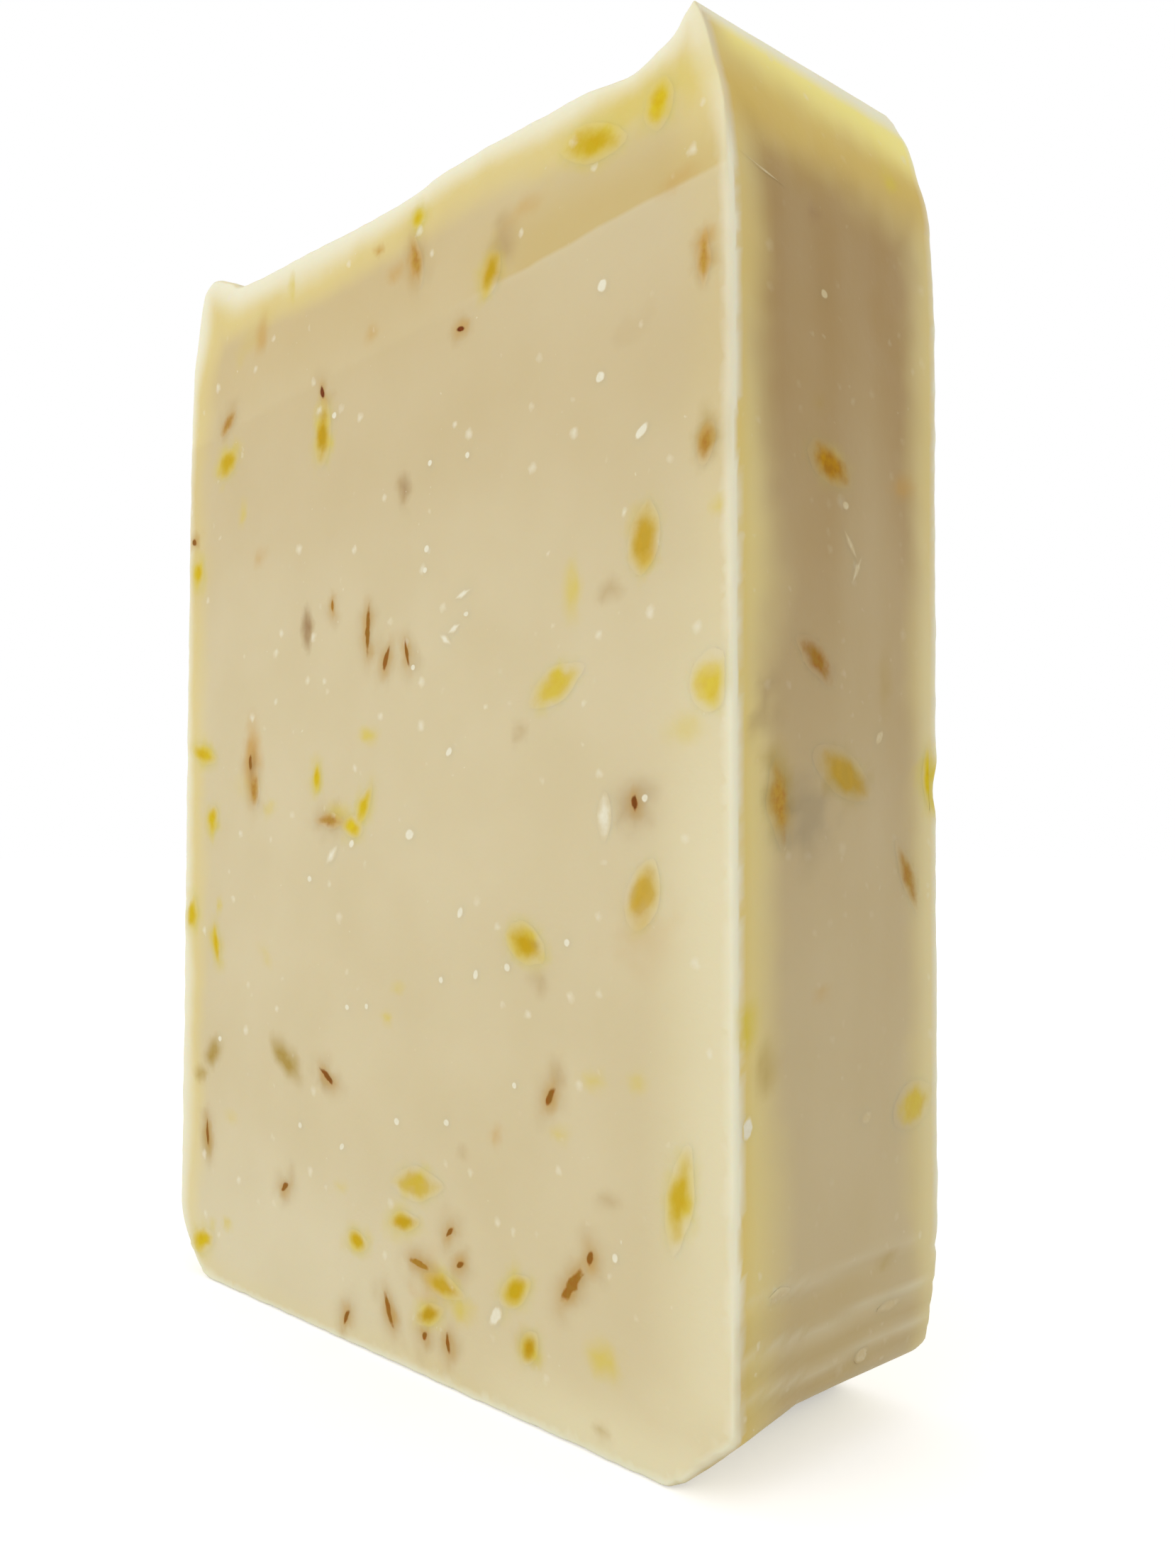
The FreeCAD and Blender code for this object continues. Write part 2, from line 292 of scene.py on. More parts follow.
def filled(loop, step):
    """Points inside a loop, and triangles over loop and points, with the loop's points first."""
    across, up = (np.arange(low, high, step) for low, high in zip(loop.min(0), loop.max(0)))
    grid = np.array([(x, z) for x in across for z in up])
    grid += rng.uniform(-0.3, 0.3, grid.shape) * step
    a, b = loop, np.roll(loop, -1, 0)
    inside = np.zeros(len(grid), bool)
    for (ax, az), (bx, bz) in zip(a, b):
        if az != bz:
            crosses = (grid[:, 1] > min(az, bz)) & (grid[:, 1] <= max(az, bz))
            inside ^= crosses & (grid[:, 0] < ax + (grid[:, 1] - az) * (bx - ax) / (bz - az))
    near = np.full(len(grid), np.inf)
    for point in loop:
        near = np.minimum(near, ((grid - point) ** 2).sum(1))
    grid = grid[inside & (near > (0.55 * step) ** 2)]
    points = [Vector(p) for p in np.vstack([loop, grid])]
    _, _, triangles, _, _, _ = delaunay_2d_cdt(points, [], [list(range(len(loop)))], 1, 1e-6)
    return grid, triangles


steps_apart = {0: 0.5, len(layers) - 1: 0.8}  # for the front face and the back one
fillings = [(ring, *filled(layers[ring][:, [0, 2]], step)) for ring, step in steps_apart.items()]
print("the cut faces hold", [len(grid) for _, grid, _ in fillings], "points of their own")

# %% Stitch the skin
points = [p for ring in layers for p in ring]
faces = []
for j in range(len(layers) - 1):
    base, above = j * count_round, (j + 1) * count_round
    for i in range(count_round):
        k = (i + 1) % count_round
        faces.append((base + i, base + k, above + k, above + i))
for ring, grid, triangles in fillings:
    at_back, first = ring > 0, len(points)
    points += [(x, back_face(z) if at_back else front, z) for x, z in grid]
    place = lambda i: ring * count_round + i if i < count_round else first + i - count_round
    for triangle in triangles:
        corners = [place(i) for i in triangle]
        faces.append(tuple(reversed(corners)) if at_back else tuple(corners))
points = np.array(points, float)
skin_mesh = bpy.data.meshes.new("soap_skin")
skin_mesh.from_pydata([tuple(p * mm) for p in points], [], faces)
skin_mesh.validate()
shaper = bmesh.new()
shaper.from_mesh(skin_mesh)
bmesh.ops.recalc_face_normals(shaper, faces=shaper.faces)
loose_edges = sum(1 for edge in shaper.edges if not edge.is_manifold)
shaper.to_mesh(skin_mesh)
shaper.free()
print("the skin has", len(skin_mesh.polygons), "faces and", loose_edges, "open edges")

# %% [markdown]
# ## Relief of the skin
# Cut soap looks flat but isn't: the wire wobbles, the surface swells a little where petals lie below,
# and each wall keeps faint lines from the mould. Real hollows catch the light in a way that colour
# can't, so the larger ones move the mesh itself, always inwards, and only the finest grain is left to
# the finish.

# %% Press in the relief
skin_gap = 0.08  # the skin's mean depth inside the solid, so that its grain never leaves it
# Up the narrow side, how deep, and half how wide
mould_lines = [(11.6, 0.16, 0.45), (9.1, 0.10, 0.3), (7.6, 0.06, 0.25), (6.0, 0.12, 0.35)]

normals = np.empty(len(skin_mesh.vertices) * 3)
skin_mesh.vertices.foreach_get("co", normals)
points = normals.reshape(-1, 3).copy() / mm
skin_mesh.vertex_normals.foreach_get("vector", normals)
normals = normals.reshape(-1, 3)


def relief(p):
    """How far each point of the skin is pressed in, in millimetres."""
    x, y, z = p.T
    depth = skin_gap + 0.05 * rough(p, 9.0, 1.0) + 0.015 * rough(p, 1.6, 2.0)
    side = np.clip((x - 31.5) / 1.0, 0, 1) * np.clip((y + 11.4) / 0.8, 0, 1)
    wander = 0.25 * np.sin(y * 0.5 + 1.0) + 0.1 * np.sin(y * 1.7)
    for line, deep, thin in mould_lines:
        depth = depth + side * deep * bump_at(z - wander, line, thin)
    upright_waves = 1 + np.sin(y * 2.1 + 0.6 * np.sin(z / 9))
    depth = depth + side * 0.015 * upright_waves * np.clip((z - 14) / 10, 0, 1)
    return np.clip(depth, 0.0, 0.5)


points = points - normals * relief(points)[:, None]
skin_mesh.vertices.foreach_set("co", (points * mm).ravel())
skin_mesh.update()
print("pressed in", relief(points[:500]).mean().round(3), "mm on average along the front edge")

# %% [markdown]
# ## Flower pieces the wire cut through
# Each dried petal or broken bit ends flush with the face it meets. The solids already hold every one of
# them, so the lesson reads their outlines from there and gives each a finer, uneven edge. A piece is a
# thin chip: a few rings of points from its middle to its rim, and a skirt that goes down into the soap.
# Each ring keeps its number as `rim`, so the finish can let the colour fade into the soap at the edge,
# as it does where soap has crept over.

# %% What a cut piece is
class Piece:
    """One cut flower piece: the face it is in, its outline there, and its centre."""

    def __init__(self, side, outline_points):
        self.side = side
        self.outline = outline_points
        self.centre = outline_points.mean(0)
        spread = outline_points - self.centre
        values, axes = np.linalg.eigh(spread.T @ spread)
        self.along = axes[:, 1]
        self.length, self.width = (np.ptp(spread @ axes[:, k]) for k in (1, 0))


def flat_place(points, side):
    """Points of one face as two numbers: across it and up."""
    return points[:, [0, 2]] if side in ("front", "back") else points[:, [1, 2]]


def side_of(points):
    """The face most of a piece's outer corners lie in, and which corners those are."""
    gaps = {
        "front": np.abs(points[:, 1] - front),
        "back": np.abs(points[:, 1] - back_face(points[:, 2])),
        "right": np.abs(points[:, 0] - wall),
        "left": np.abs(points[:, 0] + wall),
    }
    side = max(gaps, key=lambda name: (gaps[name] < 0.01).sum())
    return side, gaps[side] < 0.01


sliver = Piece("front", np.array([(0, 0), (2, 0), (1, 0.2)]))
print("a trial sliver is", sliver.length.round(2), "mm long and", sliver.width.round(2), "mm wide")

# %% Read the cut pieces
def cut_pieces(node):
    """Every separate solid of a node, as a piece."""
    solid = bmesh.new()
    solid.from_mesh(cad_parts[node].data)
    solid.transform(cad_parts[node].matrix_world)
    bmesh.ops.remove_doubles(solid, verts=solid.verts, dist=1e-6)
    found, seen = [], set()
    for start in solid.verts:
        if start in seen:
            continue
        seen.add(start)
        group, queue = [], [start]
        while queue:
            vert = queue.pop()
            group.append(np.array(vert.co) / mm)
            for edge in vert.link_edges:
                other = edge.other_vert(vert)
                if other not in seen:
                    seen.add(other)
                    queue.append(other)
        corners = np.array(group)
        side, outer = side_of(corners)
        flat = flat_place(corners[outer], side)
        middle = flat.mean(0)
        flat = flat[np.argsort(np.arctan2(flat[:, 1] - middle[1], flat[:, 0] - middle[0]))]
        found.append(Piece(side, flat))
    solid.free()
    return found


petals, flecks = cut_pieces("yellow_petals"), cut_pieces("brown_flecks")
for name, group in (("petals", petals), ("flecks", flecks)):
    sides = [piece.side for piece in group]
    print(name, {side: sides.count(side) for side in sorted(set(sides))})

# %% [markdown]
# ## Colour inside the soap
# Soap is a little translucent, so a petal that lies under the face shows as a blurred stain, and the
# oil from each piece spreads a halo round it. These are painted as amounts on the points of the skin:
# how much yellow, amber, olive, brown, grey and slate there is at each. The shader then mixes real
# colours by those amounts. Points half a millimetre apart hold such soft shapes well. They wouldn't
# hold a crisp edge, which is why the cut pieces are chips.

# %% Buried spots on the front
# Across, up, length, width, turn in degrees, what it is, and how strong
front_stains = [
    (-20.5, 83.8, 4.2, 1.9, 75, "amber", 0.55), (-15.5, 86.6, 2.6, 1.0, 90, "yellow", 0.6),
    (-2.6, 85.9, 1.2, 1.0, 0, "amber", 0.8), (-3.8, 79.4, 2.0, 1.5, 0, "amber", 0.45),
    (-23.3, 68.2, 2.4, 1.5, 80, "yellow", 0.5), (-20.3, 64.0, 2.0, 1.7, 0, "amber", 0.35),
    (-12.8, 56.9, 3.4, 1.8, 90, "grey", 0.9), (-21.2, 46.0, 7.6, 2.8, 90, "amber", 0.8),
    (-3.8, 47.4, 2.6, 1.5, -10, "yellow", 0.7), (-18.2, 42.0, 1.9, 1.3, 0, "yellow", 0.35),
    (-26.6, 33.2, 2.0, 1.1, 90, "yellow", 0.6), (-18.8, 29.3, 3.2, 1.3, -35, "yellow", 0.3),
    (-27.4, 20.2, 3.6, 2.2, 30, "olive", 0.9), (-29.5, 18.0, 2.4, 1.8, 0, "olive", 0.7),
    (-15.3, 20.9, 6.0, 2.4, -30, "olive", 0.95), (-24.5, 5.6, 1.6, 1.0, 0, "yellow", 0.6),
    (-24.2, 14.9, 2.4, 1.2, 0, "yellow", 0.35), (-7.0, 11.9, 1.8, 1.1, 0, "yellow", 0.3),
    (0.2, 28.0, 1.6, 1.1, 0, "yellow", 0.45), (-1.2, 25.6, 1.6, 1.0, 10, "yellow", 0.6),
    (0.5, 66.0, 3.6, 2.4, 100, "grey", 0.8), (-0.6, 83.3, 2.6, 1.6, 0, "amber", 0.45),
    (12.0, 81.5, 4.4, 3.2, 60, "grey", 0.75), (14.5, 83.2, 4.2, 1.6, 10, "amber", 0.4),
    (29.0, 80.3, 4.4, 1.4, 10, "amber", 0.35), (31.2, 75.9, 1.7, 1.5, 0, "amber", 0.7),
    (23.0, 55.2, 2.7, 2.0, 0, "grey", 0.55), (19.2, 56.0, 4.6, 1.6, 90, "yellow", 0.55),
    (31.9, 59.2, 1.5, 1.3, 0, "yellow", 0.5), (29.5, 46.0, 3.2, 2.2, 0, "yellow", 0.35),
    (14.0, 46.6, 1.7, 1.3, 0, "grey", 0.5), (16.2, 29.6, 2.6, 2.0, 0, "grey", 0.5),
    (18.0, 23.6, 2.6, 1.8, 60, "grey", 0.6), (18.2, 19.8, 1.9, 1.1, 0, "yellow", 0.4),
    (21.4, 23.7, 2.4, 1.4, 0, "yellow", 0.45), (25.3, 24.0, 2.0, 1.5, 0, "yellow", 0.4),
    (11.8, 18.8, 1.5, 1.1, 45, "amber", 0.4), (8.0, 17.0, 1.5, 1.0, 0, "grey", 0.4),
    (22.8, 16.3, 2.2, 1.3, 0, "grey", 0.45), (8.0, 6.0, 3.2, 2.2, 0, "yellow", 0.6),
    (22.4, 6.1, 3.4, 2.7, 0, "yellow", 0.65), (22.3, 1.7, 1.7, 1.1, 0, "olive", 0.5),
    (25.0, 72.0, 6.0, 4.0, 0, "grey", 0.3), (25.1, 41.4, 3.4, 3.0, 0, "grey", 0.5),
    (-9.2, 20.0, 3.2, 2.0, -28, "grey", 0.8), (-28.3, 12.5, 4.4, 1.8, 95, "olive", 0.6),
    (-15.4, 10.2, 2.2, 1.8, 30, "grey", 0.6), (-0.6, 3.8, 3.4, 1.8, 110, "grey", 0.6),
    (7.4, 76.7, 2.2, 1.6, 0, "amber", 0.4), (4.4, 7.2, 5.2, 4.0, 0, "amber", 0.4),
    (15.3, 5.2, 3.0, 2.2, 0, "grey", 0.55), (19.8, 10.6, 4.6, 2.2, 50, "grey", 0.6),
    (-4.0, 55.6, 4.6, 1.6, 88, "amber", 0.5), (-1.6, 53.2, 2.6, 1.6, 80, "grey", 0.4),
    (1.5, 83.4, 4.2, 2.0, 104, "amber", 0.65), (-7.8, 41.4, 4.6, 2.2, 0, "yellow", 0.5),
    (14.8, 32.1, 4.0, 2.8, -20, "yellow", 0.5), (15.4, 32.0, 1.4, 1.0, 0, "brown", 0.5),
    (21.3, 85.4, 6.0, 2.8, -14, "yellow", 0.8), (-26.2, 73.3, 3.6, 2.6, 10, "yellow", 0.6),
    (-10.7, 72.6, 5.0, 2.2, 88, "yellow", 0.6), (28.9, 17.5, 5.4, 2.0, 79, "yellow", 0.6),
    (31.1, 63.8, 3.2, 2.0, 90, "olive", 0.6), (25.9, 58.0, 3.8, 2.4, 84, "amber", 0.5),
    (25.8, 35.4, 3.6, 2.2, 70, "amber", 0.5), (10.8, 79.9, 3.0, 2.2, 70, "amber", 0.5),
    (25.5, 86.2, 17.0, 4.4, 2, "yellow", 0.42), (-22.0, 83.5, 7.0, 3.0, 20, "yellow", 0.2),
    (-12.8, 56.9, 3.6, 1.4, 90, "brown", 0.45), (-21.1, 45.2, 4.6, 1.3, 90, "brown", 0.3),
    (0.6, 66.2, 2.6, 1.3, 105, "brown", 0.3), (25.1, 41.4, 5.2, 4.4, 0, "brown", 0.14),
    (-22.0, 44.0, 4.4, 2.6, 0, "yellow", 0.2), (26.0, 33.6, 6.4, 5.6, 0, "amber", 0.16),
]
print(len(front_stains), "buried spots on the front")

# %% Buried spots on the narrow side
side_stains = [
    (-1.6, 63.4, 4.0, 2.2, -15, "olive", 0.5), (-3.3, 50.6, 3.8, 2.0, -35, "brown", 0.35),
    (6.8, 63.4, 2.8, 2.0, 0, "amber", 0.4), (-8.3, 47.6, 3.6, 4.2, 0, "brown", 0.3),
    (-7.1, 42.0, 6.4, 3.2, 96, "olive", 0.9), (-0.5, 43.3, 5.4, 3.4, -20, "olive", 0.85),
    (-4.6, 40.6, 6.2, 6.0, 0, "slate", 0.42), (10.0, 43.4, 4.8, 3.3, 90, "yellow", 1.0),
    (6.9, 36.8, 3.4, 1.6, -60, "olive", 0.6), (-10.1, 28.0, 3.6, 2.2, 90, "yellow", 0.8),
    (-8.6, 25.6, 3.6, 2.2, 90, "olive", 0.5), (7.3, 21.4, 2.6, 1.6, 15, "yellow", 0.5),
    (4.1, 11.6, 2.8, 1.1, 0, "olive", 0.4), (-2.8, 29.6, 1.3, 1.2, 0, "amber", 0.3),
    (6.5, 85.0, 2.4, 1.8, 80, "yellow", 0.6), (-3.0, 79.5, 1.6, 1.3, 0, "brown", 0.2),
    (4.3, 50.0, 5.0, 1.6, 88, "olive", 0.3), (-2.9, 67.1, 1.5, 1.2, 0, "olive", 0.3),
]
print(len(side_stains), "more on the narrow side")

# %% How much stain there is at a point
def facing_at(points, normals):
    """How far each point belongs to each upright face. The inner flanks of the lips belong to none."""
    turned = lambda part: np.clip((part - 0.5) * 3, 0, 1)
    outer = np.clip((np.abs(points[:, 0]) - 29.4) / 0.6, 0, 1)
    return {
        "front": turned(-normals[:, 1]), "back": turned(normals[:, 1]),
        "right": turned(normals[:, 0]) * outer, "left": turned(-normals[:, 0]) * outer,
    }


def spot(points, facing, side, across, up, length, width, turn, strength):
    """The points near one soft, slightly crooked spot, and its amount at each."""
    flat = flat_place(points, side)
    close = np.abs(flat - (across, up)).max(1) < length * 1.2 + 1.0
    near = np.flatnonzero(close & (facing[side] > 0))
    offset = flat[near] - (across, up)
    sway = rough(np.c_[flat[near], np.full(len(near), across)], 1.3, up) if len(near) else np.zeros(0)
    a = math.radians(turn)
    along = offset @ (math.cos(a), math.sin(a)) + 0.35 * width * sway
    over = offset @ (-math.sin(a), math.cos(a)) + 0.25 * width * sway
    far = np.hypot(along / (length / 2), over / (width / 2))
    return near, strength * np.clip(1.35 - far, 0, 1) ** 1.5 * facing[side][near] * (1 + 0.2 * sway)


def stains_at(points, facing):
    """How much yellow, amber, olive, brown, grey and slate there is at each point."""
    kinds = ("yellow", "amber", "olive", "brown", "grey", "slate")
    stains = {kind: np.zeros(len(points)) for kind in kinds}
    spots = [("front", *row) for row in front_stains] + [("right", *row) for row in side_stains]
    halos = ((petals, "yellow", 0.8, 1.6), (flecks, "amber", 0.6, 1.0), (flecks, "grey", 0.45, 2.6))
    for pieces, kind, strength, wider in halos:
        for piece in pieces:
            turn = math.degrees(math.atan2(piece.along[1], piece.along[0]))
            size = (piece.length + wider, piece.width + wider)
            lit = 0.25 if piece.side in ("left", "right") else 1.0
            spots.append((piece.side, *piece.centre, *size, turn, kind, strength * lit))
    for side, across, up, length, width, turn, kind, strength in spots:
        near, amount = spot(points, facing, side, across, up, length, width, turn, strength)
        stains[kind][near] = np.maximum(stains[kind][near], amount)
    return stains


print("with them,", len(petals + flecks), "cut pieces get a halo")

# %% [markdown]
# ## Light that soaks into the edges
# Light enters soap and comes out a few millimetres away. Near an edge it has only a short way to go, so
# the edge looks pale, then buttery yellow, and the middle of a face looks duller. True scattering gives
# some of that, but it is slow and noisy at the strength the photograph shows. So the distance from each
# edge is measured once, and the shader turns four amounts, `pale`, `warm`, `gold` and `sunny`, into
# colour.

# %% Distances that fade
def fade(value, full_at, none_at):
    """1 up to one value, 0 from another on, and a smooth step between."""
    t = np.clip((none_at - value) / (none_at - full_at), 0, 1)
    return t * t * (3 - 2 * t)


def from_outline(points):
    """How far each point is from the outline, as seen from the front."""
    best = np.full(len(points), np.inf)
    for x, z in full_outline:
        best = np.minimum(best, (points[:, 0] - x) ** 2 + (points[:, 2] - z) ** 2)
    return np.sqrt(best)


middle = np.array([[0, front, height / 2]])
print("the middle of the front is", from_outline(middle)[0].round(1), "mm from the outline")

# %% Light on the cut faces
def cut_face_glow(points, wavy):
    """The pale and the warm light on the two cut faces, near the outline."""
    x, z = points[:, 0], points[:, 2]
    away = from_outline(points)
    on_top, on_foot = fade(height - z, 3.0, 9.0), fade(z, 1.0, 7.0)
    on_wall = (1 - on_top) * (1 - 0.75 * on_foot)
    on_left, on_right = on_wall * fade(x + wall, 5.0, 9.0), on_wall * fade(wall - x, 6.0, 10.0)
    left_reach = 1.6 + 1.5 * fade(z, 8.0, 62.0)
    top_left = on_top * fade(x, -14.0, 0.0)
    pale_reach = 2.6 * on_top + 0.7 * top_left + left_reach * on_left + 1.1 * on_right + 0.9 * on_foot
    warm_reach = 7.0 * on_top + 1.6 * top_left + 5.0 * on_left + 5.5 * on_right + 3.0 * on_foot
    pale_reach, warm_reach = pale_reach * wavy + 0.05, warm_reach * wavy + 0.1
    warm_most = np.minimum(0.8 * on_top + 0.7 * on_left + 0.25 * on_right + 0.2 * on_foot, 0.8)
    right_glow = on_right * fade(z, 30.0, 74.0) * fade(away, 0.5, 8.5)
    foot_glow = on_foot * fade(-x, -24.0, 0.0) * fade(away, 1.0, 8.0)
    veil = 0.42 * np.maximum(right_glow, foot_glow)
    veil = np.maximum(veil, 0.24 * fade(z, 3.0, 19.0) * fade(x, -4.0, 8.0))
    tip = fade(wall - x, 1.8, 4.0) * fade(-z, -80.5, -78.0)
    pale = np.maximum(0.9 * fade(away, pale_reach * 0.15, pale_reach) * (1 - 0.4 * tip), veil)
    yellowish = np.maximum(0.38 * right_glow, 0.34 * foot_glow)
    return pale, np.maximum(warm_most * fade(away, pale_reach * 0.7, warm_reach), yellowish)


centre_and_edge = np.array([[0, front, 45.0], [wall - 0.2, front, 45.0]])
pale_there = cut_face_glow(centre_and_edge, 1.0)[0]
print("pale in the middle of the front, and at its right edge:", pale_there.round(2))

# %% Light on the narrow sides
def narrow_side_glow(points, wavy, depth_in, depth_out):
    """The pale, warm, golden and sunny light on the two narrow sides."""
    z = points[:, 2]
    below_lip = height + 2.0 - z
    far_pale = 0.85 * fade(depth_out, 0.2, 1.0)
    far_pale = far_pale + 0.22 * fade(depth_out, 1.0, 3.5) * fade(z, 50.0, 64.0)
    pale = np.maximum(far_pale, 0.9 * fade(below_lip, 0.2, 1.5 * wavy))
    high = fade(-z, -72.0, -56.0)
    warm = np.maximum.reduce([
        fade(depth_in, -1.0 * high, (6.0 - 1.4 * high) * wavy), 0.8 * fade(depth_out, 0.2, 5.0 * wavy),
        fade(below_lip, 2.5, 10.0 * wavy + 3.0 * fade(depth_out, 0.0, 8.0)),
    ])
    gold = np.maximum.reduce([
        0.66 * bump_at(below_lip, 5.7, 3.0), 0.22 * fade(np.abs(depth_in - 0.6), 0.2, 1.4),
        0.26 * fade(depth_in, 1.0, 5.0) * bump_at(z, 75.0, 4.5),
    ])
    sunny = fade(below_lip - 0.08 * depth_in, 0.0, 4.2 * wavy) * fade(-depth_in, -3.0, -0.6)
    return pale, warm, gold, sunny


under_lip, halfway = np.array([[wall, 0.0, height - 3.7]]), np.array([11.5])
gold_there = narrow_side_glow(under_lip, 1.0, halfway, halfway)[2]
print("gold in the middle of the side, just under the lip:", gold_there.round(2))

# %% Light near every edge
def glow_at(points, normals, facing):
    """The pale, warm, golden and sunny light near the edges, whichever way each point faces."""
    wavy = 1 + 0.25 * rough(points, 7.0, 21.0) + 0.12 * rough(points, 2.0, 22.0)
    depth_in, depth_out = points[:, 1] - front, back_face(points[:, 2]) - points[:, 1]
    broad = np.maximum(facing["front"], facing["back"])
    narrow = np.maximum(facing["left"], facing["right"])
    pale, warm = (broad * part for part in cut_face_glow(points, wavy))
    on_sides = narrow_side_glow(points, wavy, depth_in, depth_out)
    pale_side, warm_side, gold, sunny = (narrow * part for part in on_sides)
    pale, warm = np.maximum(pale, pale_side), np.maximum(warm, warm_side)
    bevel = fade(np.minimum(depth_in, depth_out), 0.48, 0.68) * fade(broad, 0.55, 0.9)
    upright = fade(np.abs(normals[:, 2]), 0.3, 0.7)
    lower = 1 - 0.45 * fade(-points[:, 2], -84.0, -80.0)
    pale = np.maximum(pale, bevel * (0.45 + 0.45 * upright) * lower)
    flank = np.clip(30.0 - np.abs(points[:, 0]), 0, 1) * np.clip(np.abs(normals[:, 0]) * 2 - 0.2, 0, 1)
    upward = np.maximum(np.clip(normals[:, 2] * 2 - 0.8, 0, 1), flank)
    pale, warm = np.maximum(pale, 0.55 * upward), np.maximum(warm * (1 - 0.8 * bevel), 0.7 * upward)
    return pale, warm, gold, sunny


turned_to_you = np.array([[0.0, -1.0, 0.0]] * 2)
glow_there = glow_at(centre_and_edge, turned_to_you, facing_at(centre_and_edge, turned_to_you))
print("warm in the middle of the front, and at its right edge:", glow_there[1].round(2))

# %% [markdown]
# ## Tan band, painted shade and mould lines
# The front is darker and tan under the poured top, with a crisp lower border. The narrow sides get
# painted shade, strongest high up, and the upper front gets a little. Near the foot of the narrow side,
# painted shade and painted highlights run along the mould lines in place of the light their ridges would
# catch, some darker and some lighter than the soap between them. A picture wrapped round the bar could
# hold such lines, but it would need a layout and would blur close up. Painted amounts need neither. The
# border alone is kept as a distance, and the finish draws it sharp.

# %% Tan band, painted shade and mould lines
# Painted shade and painted highlights along the mould lines, in place of the light their ridges would
# catch: up the narrow side, half how wide, and how strong
mould_line_shade = [(10.4, 0.6, 0.18), (9.6, 0.5, 0.12), (7.4, 0.6, 0.48), (5.4, 0.5, 0.45)]
mould_line_highlights = [(11.9, 0.3, 0.2), (8.8, 0.22, 0.4), (6.3, 0.3, 0.35), (8.3, 0.5, 0.12)]


def tan_band_and_shade_at(points, facing, warm):
    """The tan band under the poured top, the painted shade of the narrow sides and the upper front, and
    the painted shade and highlights along the mould lines.
    """
    x, y, z = points.T
    border = z - 80.1 + 0.06 * (33 - x) - 0.06 * np.sin(x / 3.1) - 0.07 * rough(points, 1.6, 51.0)
    band = fade(16 - x, 0.0, 12.0) * (0.4 + 0.6 * fade(z, 80.5, 85.5)) * fade(z, 86.0, 90.5)
    tan = 0.7 * fade(84.0 - z, 0.0, 13.0) * fade(x, 0.0, 22.0) + 0.2 * bump_at(z, 71.0, 8.0)
    tan = tan * facing["front"] + facing["back"] * 0.75 * fade(84.0 - z, 0.0, 12.0)
    narrow = np.maximum(facing["left"], facing["right"])
    cloudy = rough(points * (0.5, 1.0, 0.3), 4.0, 41.0)
    streak = 1 - 0.18 * facing["right"] * bump_at(y, 2.0, 3.0) * fade(np.abs(z - 55), 12.0, 26.0)
    # Painted shade over the narrow side: strongest high up, less towards the foot and under the painted
    # warm edge light, with a lighter upright streak and some mottling.
    painted_side_shade = (0.33 + 0.67 * fade(80.0 - z, 0.0, 62.0)) * (1 - 0.75 * warm) * streak * (1 + 0.12 * cloudy)
    level = z - 0.035 * (y + 11.5) - 0.12 * np.sin(y * 0.55)
    sway = 0.75 + 0.35 * rough(np.c_[y, 0.3 * z, 0 * z], 4.0, 31.0)
    lines = lambda rows: sum(deep * bump_at(level, line, thin) for line, thin, deep in rows) * sway
    # The dark lines are painted shade, added to the narrow side's shade and to olive; the light ones are
    # painted highlights, added to pale.
    dark, light = lines(mould_line_shade), narrow * lines(mould_line_highlights)
    # Painted shade over the upper front, darkest about 70 mm up and stopping at the tan border.
    shade = 0.2 * facing["front"] * bump_at(z, 69.5, 12.0) * fade(border, -0.6, 0.1)
    olive = narrow * (0.35 * dark + 0.17 * fade(level, 10.6, 11.6) * fade(y, -2.0, 10.0))
    return {
        "tan": np.clip(tan, 0, 1), "band": band * facing["front"], "border": np.clip(border, -3, 3),
        "painted_side_shade": narrow * np.clip(painted_side_shade + 0.25 * dark, 0, 1),
        "olive": olive, "light": light, "shade": shade,
    }


print(len(mould_line_shade), "dark and", len(mould_line_highlights), "light lines lie near the foot")

# %% Paint the skin
def amounts_at(points, normals):
    """Every painted amount at each point, for the skin and for the chips alike."""
    facing = facing_at(points, normals)
    pale, warm, gold, sunny = glow_at(points, normals, facing)
    tan_band_and_shade_here, stains = tan_band_and_shade_at(points, facing, warm), stains_at(points, facing)
    # olive also takes the painted shade of the mould lines, and pale their painted highlights.
    stains["olive"] = np.maximum(stains["olive"], tan_band_and_shade_here.pop("olive"))
    pale = np.maximum(pale, tan_band_and_shade_here.pop("light"))
    # grey takes the painted shade of the upper front as well as the grey stains.
    stains["grey"] = np.maximum(stains["grey"], tan_band_and_shade_here.pop("shade"))
    return {"pale": pale, "warm": warm, "gold": gold, "sunny": sunny, **tan_band_and_shade_here, **stains}


def label_points(mesh, labels):
    """Store every label's amounts on the points of a mesh, where the shader can read them."""
    for label, values in labels.items():
        layer_of_values = mesh.attributes.new(label, "FLOAT", "POINT")
        layer_of_values.data.foreach_set("value", np.array(values, np.float32))


skin_normals = np.empty(len(skin_mesh.vertices) * 3)
skin_mesh.vertex_normals.foreach_get("vector", skin_normals)
amounts = amounts_at(points, skin_normals.reshape(-1, 3))
label_points(skin_mesh, amounts)
skin_mesh.shade_smooth()
print("mean amounts:", {label: round(float(values.mean()), 3) for label, values in amounts.items()})

# %% [markdown]
# ## Where each face of the skin lies
# A chip must sit on the skin as it now is, relief and all. Rather than ask the mesh again for every
# point, the chip uses the same relief function the skin used, so the two agree to a hair. Its outline
# is worn: corners are rounded off, the line is slightly broken, and a soft piece gets room for its rim
# to fade in.

# %% Points on a face
upright = [(z, abs(x)) for x, z in full_outline if x > 31 and z > 8]


def wall_at(z):
    """How far out the walls are at some heights, where they lean as well as below."""
    heights, reaches = np.array(sorted(upright)).T
    return np.interp(z, heights, reaches)


